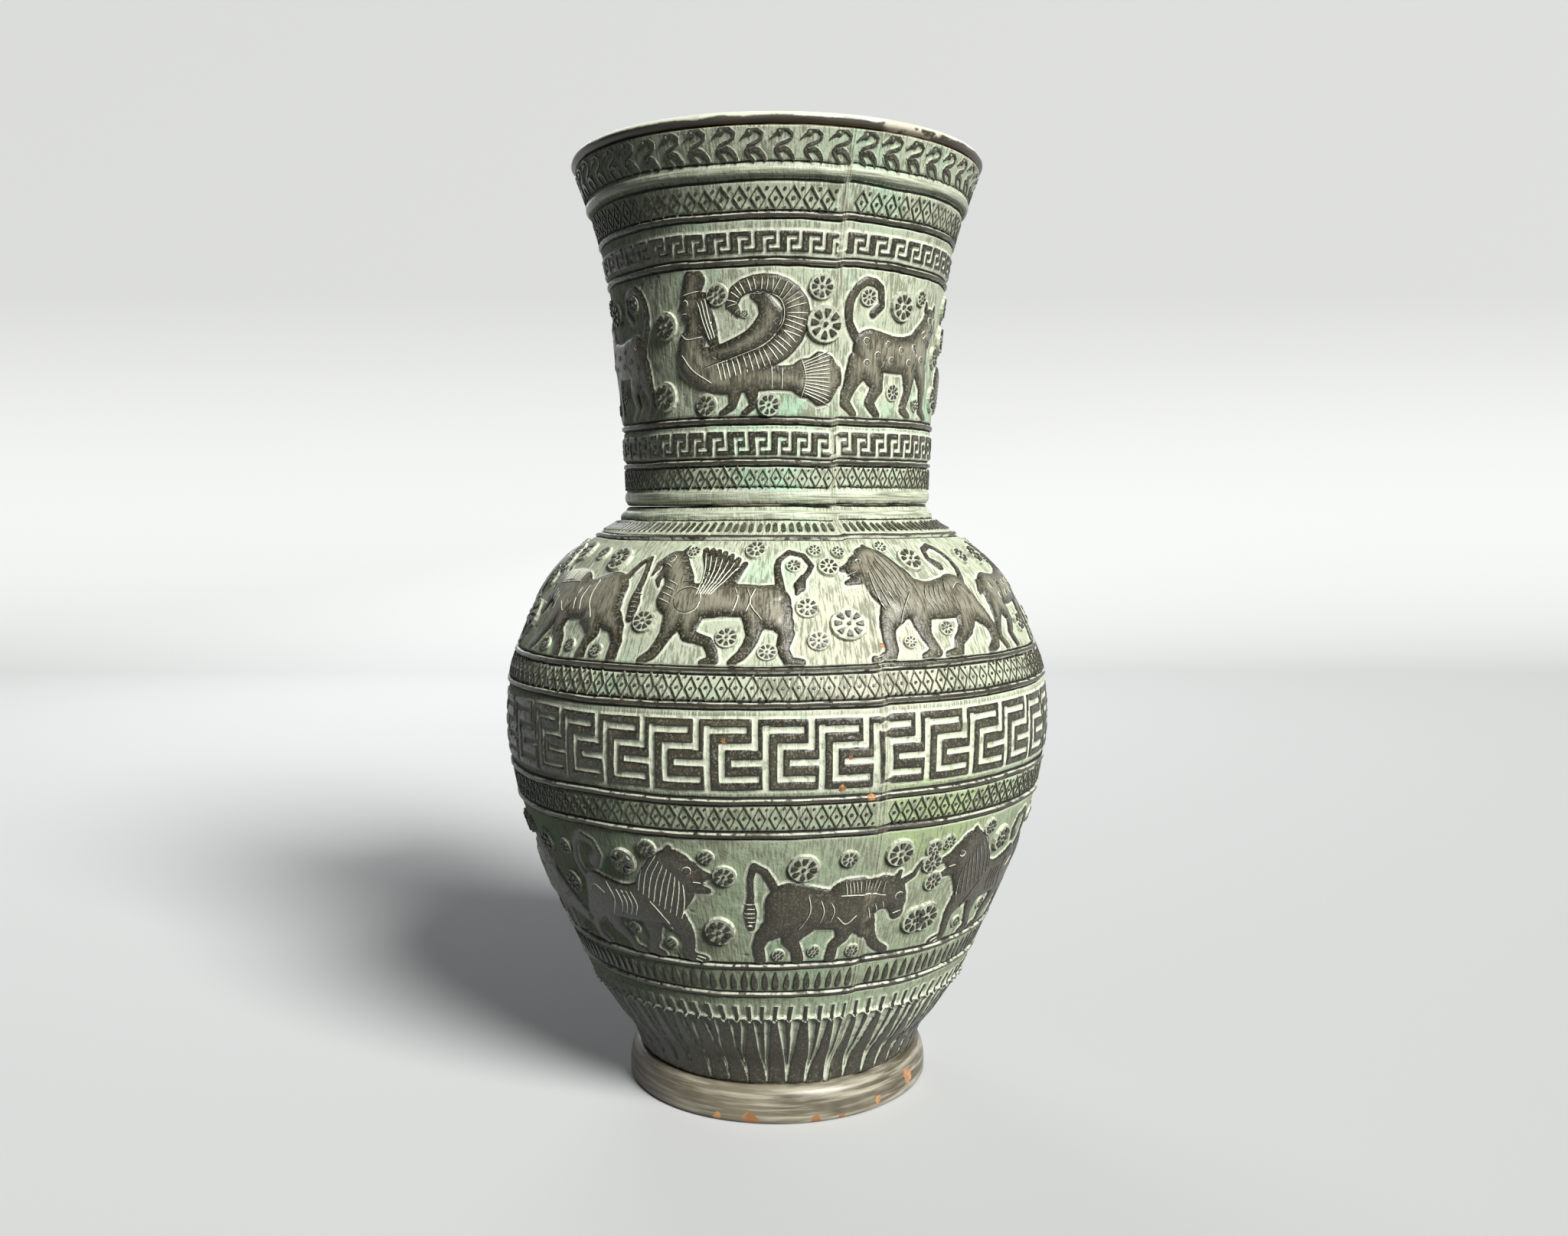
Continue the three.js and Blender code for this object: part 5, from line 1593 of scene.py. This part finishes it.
def motif_row(label, section, low, high, motif_form, number, start, smeared=0.6, turn=0.04, seed=1):
    """One row of a motif between two heights. The motifs within smeared degrees of a seam are left out."""
    foot, head = float(WALL.along(low)), float(WALL.along(high))
    radius = float(WALL.radius((low + high) / 2))
    motif = motif_object(label, motif_form(2 * math.pi * radius / number, head - foot))
    piece = grow(
        label, shared_tree("motif_row", row_tree), bpy.data.meshes.new(label),
        **bending(radius, foot, head, SECTIONS[section]),
        **{"Motif": motif, "Count": number, "Start": math.radians(start), "Smeared": math.radians(smeared)},
        **{"Seed": seed, "Uneven turn": turn, "Finish": finish("carved_clay")},
    )
    bpy.data.objects.remove(motif)
    keep(piece, "carved_clay")


class VASE_OT_rows(VasePiece, bpy.types.Operator):
    """Set the rows of tongues and lozenges round the wall"""

    bl_idname = "vase.rows"
    bl_label = "Tongues and lozenges"

    def make(self, form):
        def bars(top_share):
            """Tongues that narrow to this share of their width"""
            return lambda pitch, tall: tongue(pitch * 0.6, tall, top_share)

        # (piece, section, low, high, motif, how many, azimuth of the first)
        rows = (
            ("lower_tongue_row", "body_rays", 48.9, 55.5, bars(0.45), form.lower_tongues, 0),
            ("upper_tongue_row", "body_upper_frieze", 182.2, 185.2, bars(0.9), form.upper_tongues, 0),
            ("lower_lozenge_row", "body_key", 100.7, 108.1, lozenge, form.belly_lozenges, 0),
            ("middle_lozenge_row", "body_key", 136.8, 144.1, lozenge, form.belly_lozenges, 1.4),
            ("throat_lozenge_row", "neck_frieze", 194.9, 201.7, lozenge, form.throat_lozenges, 0),
            ("mouth_lozenge_row", "neck_mouth", 273.9, 281.2, lozenge, form.mouth_lozenges, 0),
        )
        for seed, row in enumerate(rows, 11):
            motif_row(*row, seed=seed)


class VASE_OT_geese(VasePiece, bpy.types.Operator):
    """Set the row of water birds round the mouth"""

    bl_idname = "vase.geese"
    bl_label = "Birds at the mouth"

    def make(self, form):
        def bird(pitch, tall):
            """The bird has its own size"""
            return goose()

        motif_row(
            "goose_row", "neck_mouth", 287.0, 295.8, bird, form.geese, 2.0, smeared=1.0, turn=0.03, seed=17
        )


def placements(frieze):
    """Each figure of a frieze: (figure, azimuth in radians, facing, ground, radius), with ground the length
    up the wall to its ground line, in mm"""
    ground, middle, figures = FRIEZES[frieze]
    ground, radius = float(WALL.along(ground)), float(WALL.radius(middle))
    for figure, azimuth, facing in figures:
        yield figure, math.radians(signed(azimuth)), facing, ground, radius


class VASE_OT_rosettes(VasePiece, bpy.types.Operator):
    """Fill the friezes with rosettes"""

    bl_idname = "vase.rosettes"
    bl_label = "Rosettes"

    def make(self, form):
        motif = motif_object("rosette", rosette())
        for frieze in FRIEZES:
            section = SECTIONS[frieze]
            points, sizes = [], []
            for figure, azimuth, facing, ground, radius in placements(frieze):
                for x, y, size in figure["rosettes"]:
                    turn = azimuth + facing * x / radius
                    past_seam = (math.degrees(turn) - SEAMS[0] + 90) % 180 - 90
                    if abs(past_seam) > 2.0:
                        points.append((turn * section.radius, ground + y - section.foot, 0.25))
                        sizes.append(size)
            start = new_mesh(frieze, points, size=np.array(sizes, np.float32))
            values = {"Motif": motif, "Seed": 21, "Uneven turn": 0.4, "Uneven size": 0.08}
            piece = grow(
                frieze + "_rosettes", shared_tree("motif_scatter", scatter_tree), start, **values,
                **bending(section.radius, section.foot, section.head, section), Finish=finish("carved_clay"),
            )
            keep(piece, "carved_clay")
        bpy.data.objects.remove(motif)


def cut_rows(mark, azimuth, facing, ground, radius, section, half, lift):
    """The ridge of one cut line, laid out flat: three rows of points in mm, each with how bright it is"""
    path = curve_through(mark, 0.8)
    tangent = np.gradient(path, axis=0)
    side = np.stack([-tangent[:, 1], tangent[:, 0]], -1) / np.maximum(np.hypot(*tangent.T), 1e-6)[:, None]
    from_end = np.minimum(np.arange(len(path)), np.arange(len(path))[::-1])
    taper = half * np.minimum(1, 0.35 + from_end * 0.5)
    # The row on the side towards the light is painted as a highlight, and the row on the far side as shade
    towards_light = (side[:, 0] * facing + side[:, 1] * 0.6).sum() > 0
    bright = 0.9 if towards_light else -0.9
    rows = []
    for share, rise, light in ((1, -0.1, bright), (0, lift, 0.0), (-1, -0.1, -bright)):
        row = path + side * (taper * share)[:, None]
        turn = azimuth + facing * row[:, 0] / radius
        along = ground + row[:, 1]
        level = carve(np.degrees(turn), along).height + rise
        rows.append((np.stack([turn * section.radius, along - section.foot, level], -1), light))
    return rows


class VASE_OT_lines(VasePiece, bpy.types.Operator):
    """Cut the lines of manes, wings, ribs and eyes into the figures"""

    bl_idname = "vase.lines"
    bl_label = "Cut lines"

    def make(self, form):
        half, lift = form.line_width / MM / 2, form.line_lift / MM
        for frieze in FRIEZES:
            section = SECTIONS[frieze]
            points, faces, lights = [], [], []
            for figure, azimuth, facing, ground, radius in placements(frieze):
                for mark in figure["marks"]:
                    first = len(points)
                    for row, light in cut_rows(mark, azimuth, facing, ground, radius, section, half, lift):
                        points += row.tolist()
                        lights += [light] * len(row)
                    n = (len(points) - first) // 3
                    for start in (first, first + n):
                        for a in range(start, start + n - 1):
                            quad = (a, a + n, a + n + 1, a + 1)
                            faces.append(quad if facing > 0 else quad[::-1])
            light = np.array(lights, np.float32)
            raised = np.full(len(light), 0.9, np.float32)
            start = new_mesh(frieze, points, faces, raised=raised, rubbed=light, groove=-light)
            piece = grow(
                frieze + "_lines", shared_tree("carved_sheet", sheet_tree), start,
                **bending(section.radius, section.foot, section.head, section), Finish=finish("carved_clay"),
            )
            keep(piece, "carved_clay")


# Stage
FLOOR_COLOUR = (208, 210, 211)
# Lamps: (name, kind, place in m, power, tint)
LAMPS = (
    ("key", "SUN", (0.62, -0.79, 0.86), 5.1, (1.0, 0.99, 0.96)),
    ("back", "AREA", (-0.35, 1.1, 0.75), 4.0, (0.96, 0.98, 1.0)),
)
LAMP_AIM = (0, 0, 0.15)
SUN_SPREAD = 24  # degrees
CAMERA_PLACE = (0.0023, -0.457, 0.1902)  # m
CAMERA_DOWN = 4.709  # degrees below level
LENS, SENSOR = 31.42, 36  # mm


def lay_floor():
    """A pale floor that sweeps up into a backdrop"""
    bend_up = [(1.1 + 0.5 * math.sin(t), 0.5 - 0.5 * math.cos(t)) for t in np.linspace(0.2, 1.57, 8)]
    sweep = [(-2.2, 0), (1.1, 0), *bend_up, (1.6, 2.4)]
    corners = [(x, y, z) for y, z in sweep for x in (-3, 3)]
    mesh = bpy.data.meshes.new("floor")
    mesh.from_pydata(corners, [], [(i, i + 1, i + 3, i + 2) for i in range(0, len(corners) - 2, 2)])
    shade_smooth(mesh)
    floor = new_object("floor", mesh)
    look = Finish("floor")
    look.shader.inputs["Base Color"].default_value = (*paint(*FLOOR_COLOUR), 1)
    look.shader.inputs["Roughness"].default_value = 0.8
    floor.data.materials.append(look.material)
    floor.visible_diffuse = False  # so that it throws no light up on the vase


def studio_world():
    """A faint cool light from all round"""
    world = bpy.data.worlds.new("studio")
    world.use_nodes = True
    background = world.node_tree.nodes["Background"]
    background.inputs["Color"].default_value = (0.94, 0.97, 1.0, 1)
    background.inputs["Strength"].default_value = 0.045
    return world


def set_lamp(name, kind, place, power, tint):
    """A lamp that points at the vase"""
    lamp = bpy.data.lights.new(name, kind)
    lamp.energy, lamp.color = power, tint
    if kind == "SUN":
        lamp.angle = math.radians(SUN_SPREAD)
    else:
        lamp.size = 0.6
    made = new_object(name, lamp)
    made.location = place
    x, y, z = np.array(LAMP_AIM) - np.array(place)
    made.rotation_euler = (math.atan2(math.hypot(x, y), -z), 0, math.atan2(y, x) - math.pi / 2)


def set_camera():
    """The camera, where the photograph was taken from"""
    eye = bpy.data.cameras.new("camera")
    eye.lens, eye.sensor_width, eye.clip_start = LENS, SENSOR, 0.01
    camera = new_object("camera", eye)
    camera.location = CAMERA_PLACE
    camera.rotation_euler = (math.radians(90 - CAMERA_DOWN), 0, 0)
    return camera


class VASE_OT_stage(VasePiece, bpy.types.Operator):
    """Set the floor, the lights, the world and the camera"""

    bl_idname = "vase.stage"
    bl_label = "Stage"

    def make(self, form):
        scene = bpy.context.scene
        scene.view_settings.view_transform = "Standard"
        lay_floor()
        scene.world = studio_world()
        for lamp in LAMPS:
            set_lamp(*lamp)
        scene.camera = set_camera()


OPERATORS = (
    VASE_OT_body, VASE_OT_neck, VASE_OT_seams, VASE_OT_rings, VASE_OT_slip, VASE_OT_rows, VASE_OT_geese,
    VASE_OT_rosettes, VASE_OT_lines, VASE_OT_stage,
)


class VASE_PT_panel(bpy.types.Panel):
    """Sizes, colours and pieces of the vase"""

    bl_idname = "VASE_PT_panel"
    bl_label = "Carved Vase"
    bl_space_type = "VIEW_3D"
    bl_region_type = "UI"
    bl_category = "Vase"

    def draw(self, context):
        for group in (context.scene.vase_form, context.scene.vase_finish):
            column = self.layout.column(align=True)
            for name in group.__annotations__:
                column.prop(group, name)
        for operator in OPERATORS:
            self.layout.operator(operator.bl_idname)


CLASSES = (VaseForm, VaseFinish, *OPERATORS, VASE_PT_panel)


def register():
    """Makes the operators, the panel and the vase's settings known to Blender"""
    for kind in CLASSES:
        bpy.utils.register_class(kind)
    bpy.types.Scene.vase_form = bpy.props.PointerProperty(type=VaseForm)
    bpy.types.Scene.vase_finish = bpy.props.PointerProperty(type=VaseFinish)


def unregister():
    """Takes them back"""
    del bpy.types.Scene.vase_finish
    del bpy.types.Scene.vase_form
    for kind in reversed(CLASSES):
        bpy.utils.unregister_class(kind)


def main():
    """Makes the whole vase and its stage"""
    register()
    ours = {*frame["nodes"].values(), *frame["bodies"].values()}
    for thing in [o for o in bpy.data.objects if o not in ours]:
        bpy.data.objects.remove(thing)
    for operator in OPERATORS:
        group, name = operator.bl_idname.split(".")
        getattr(getattr(bpy.ops, group), name)()
    bpy.data.objects.remove(wall_line_object())


if __name__ == "__main__":
    main()
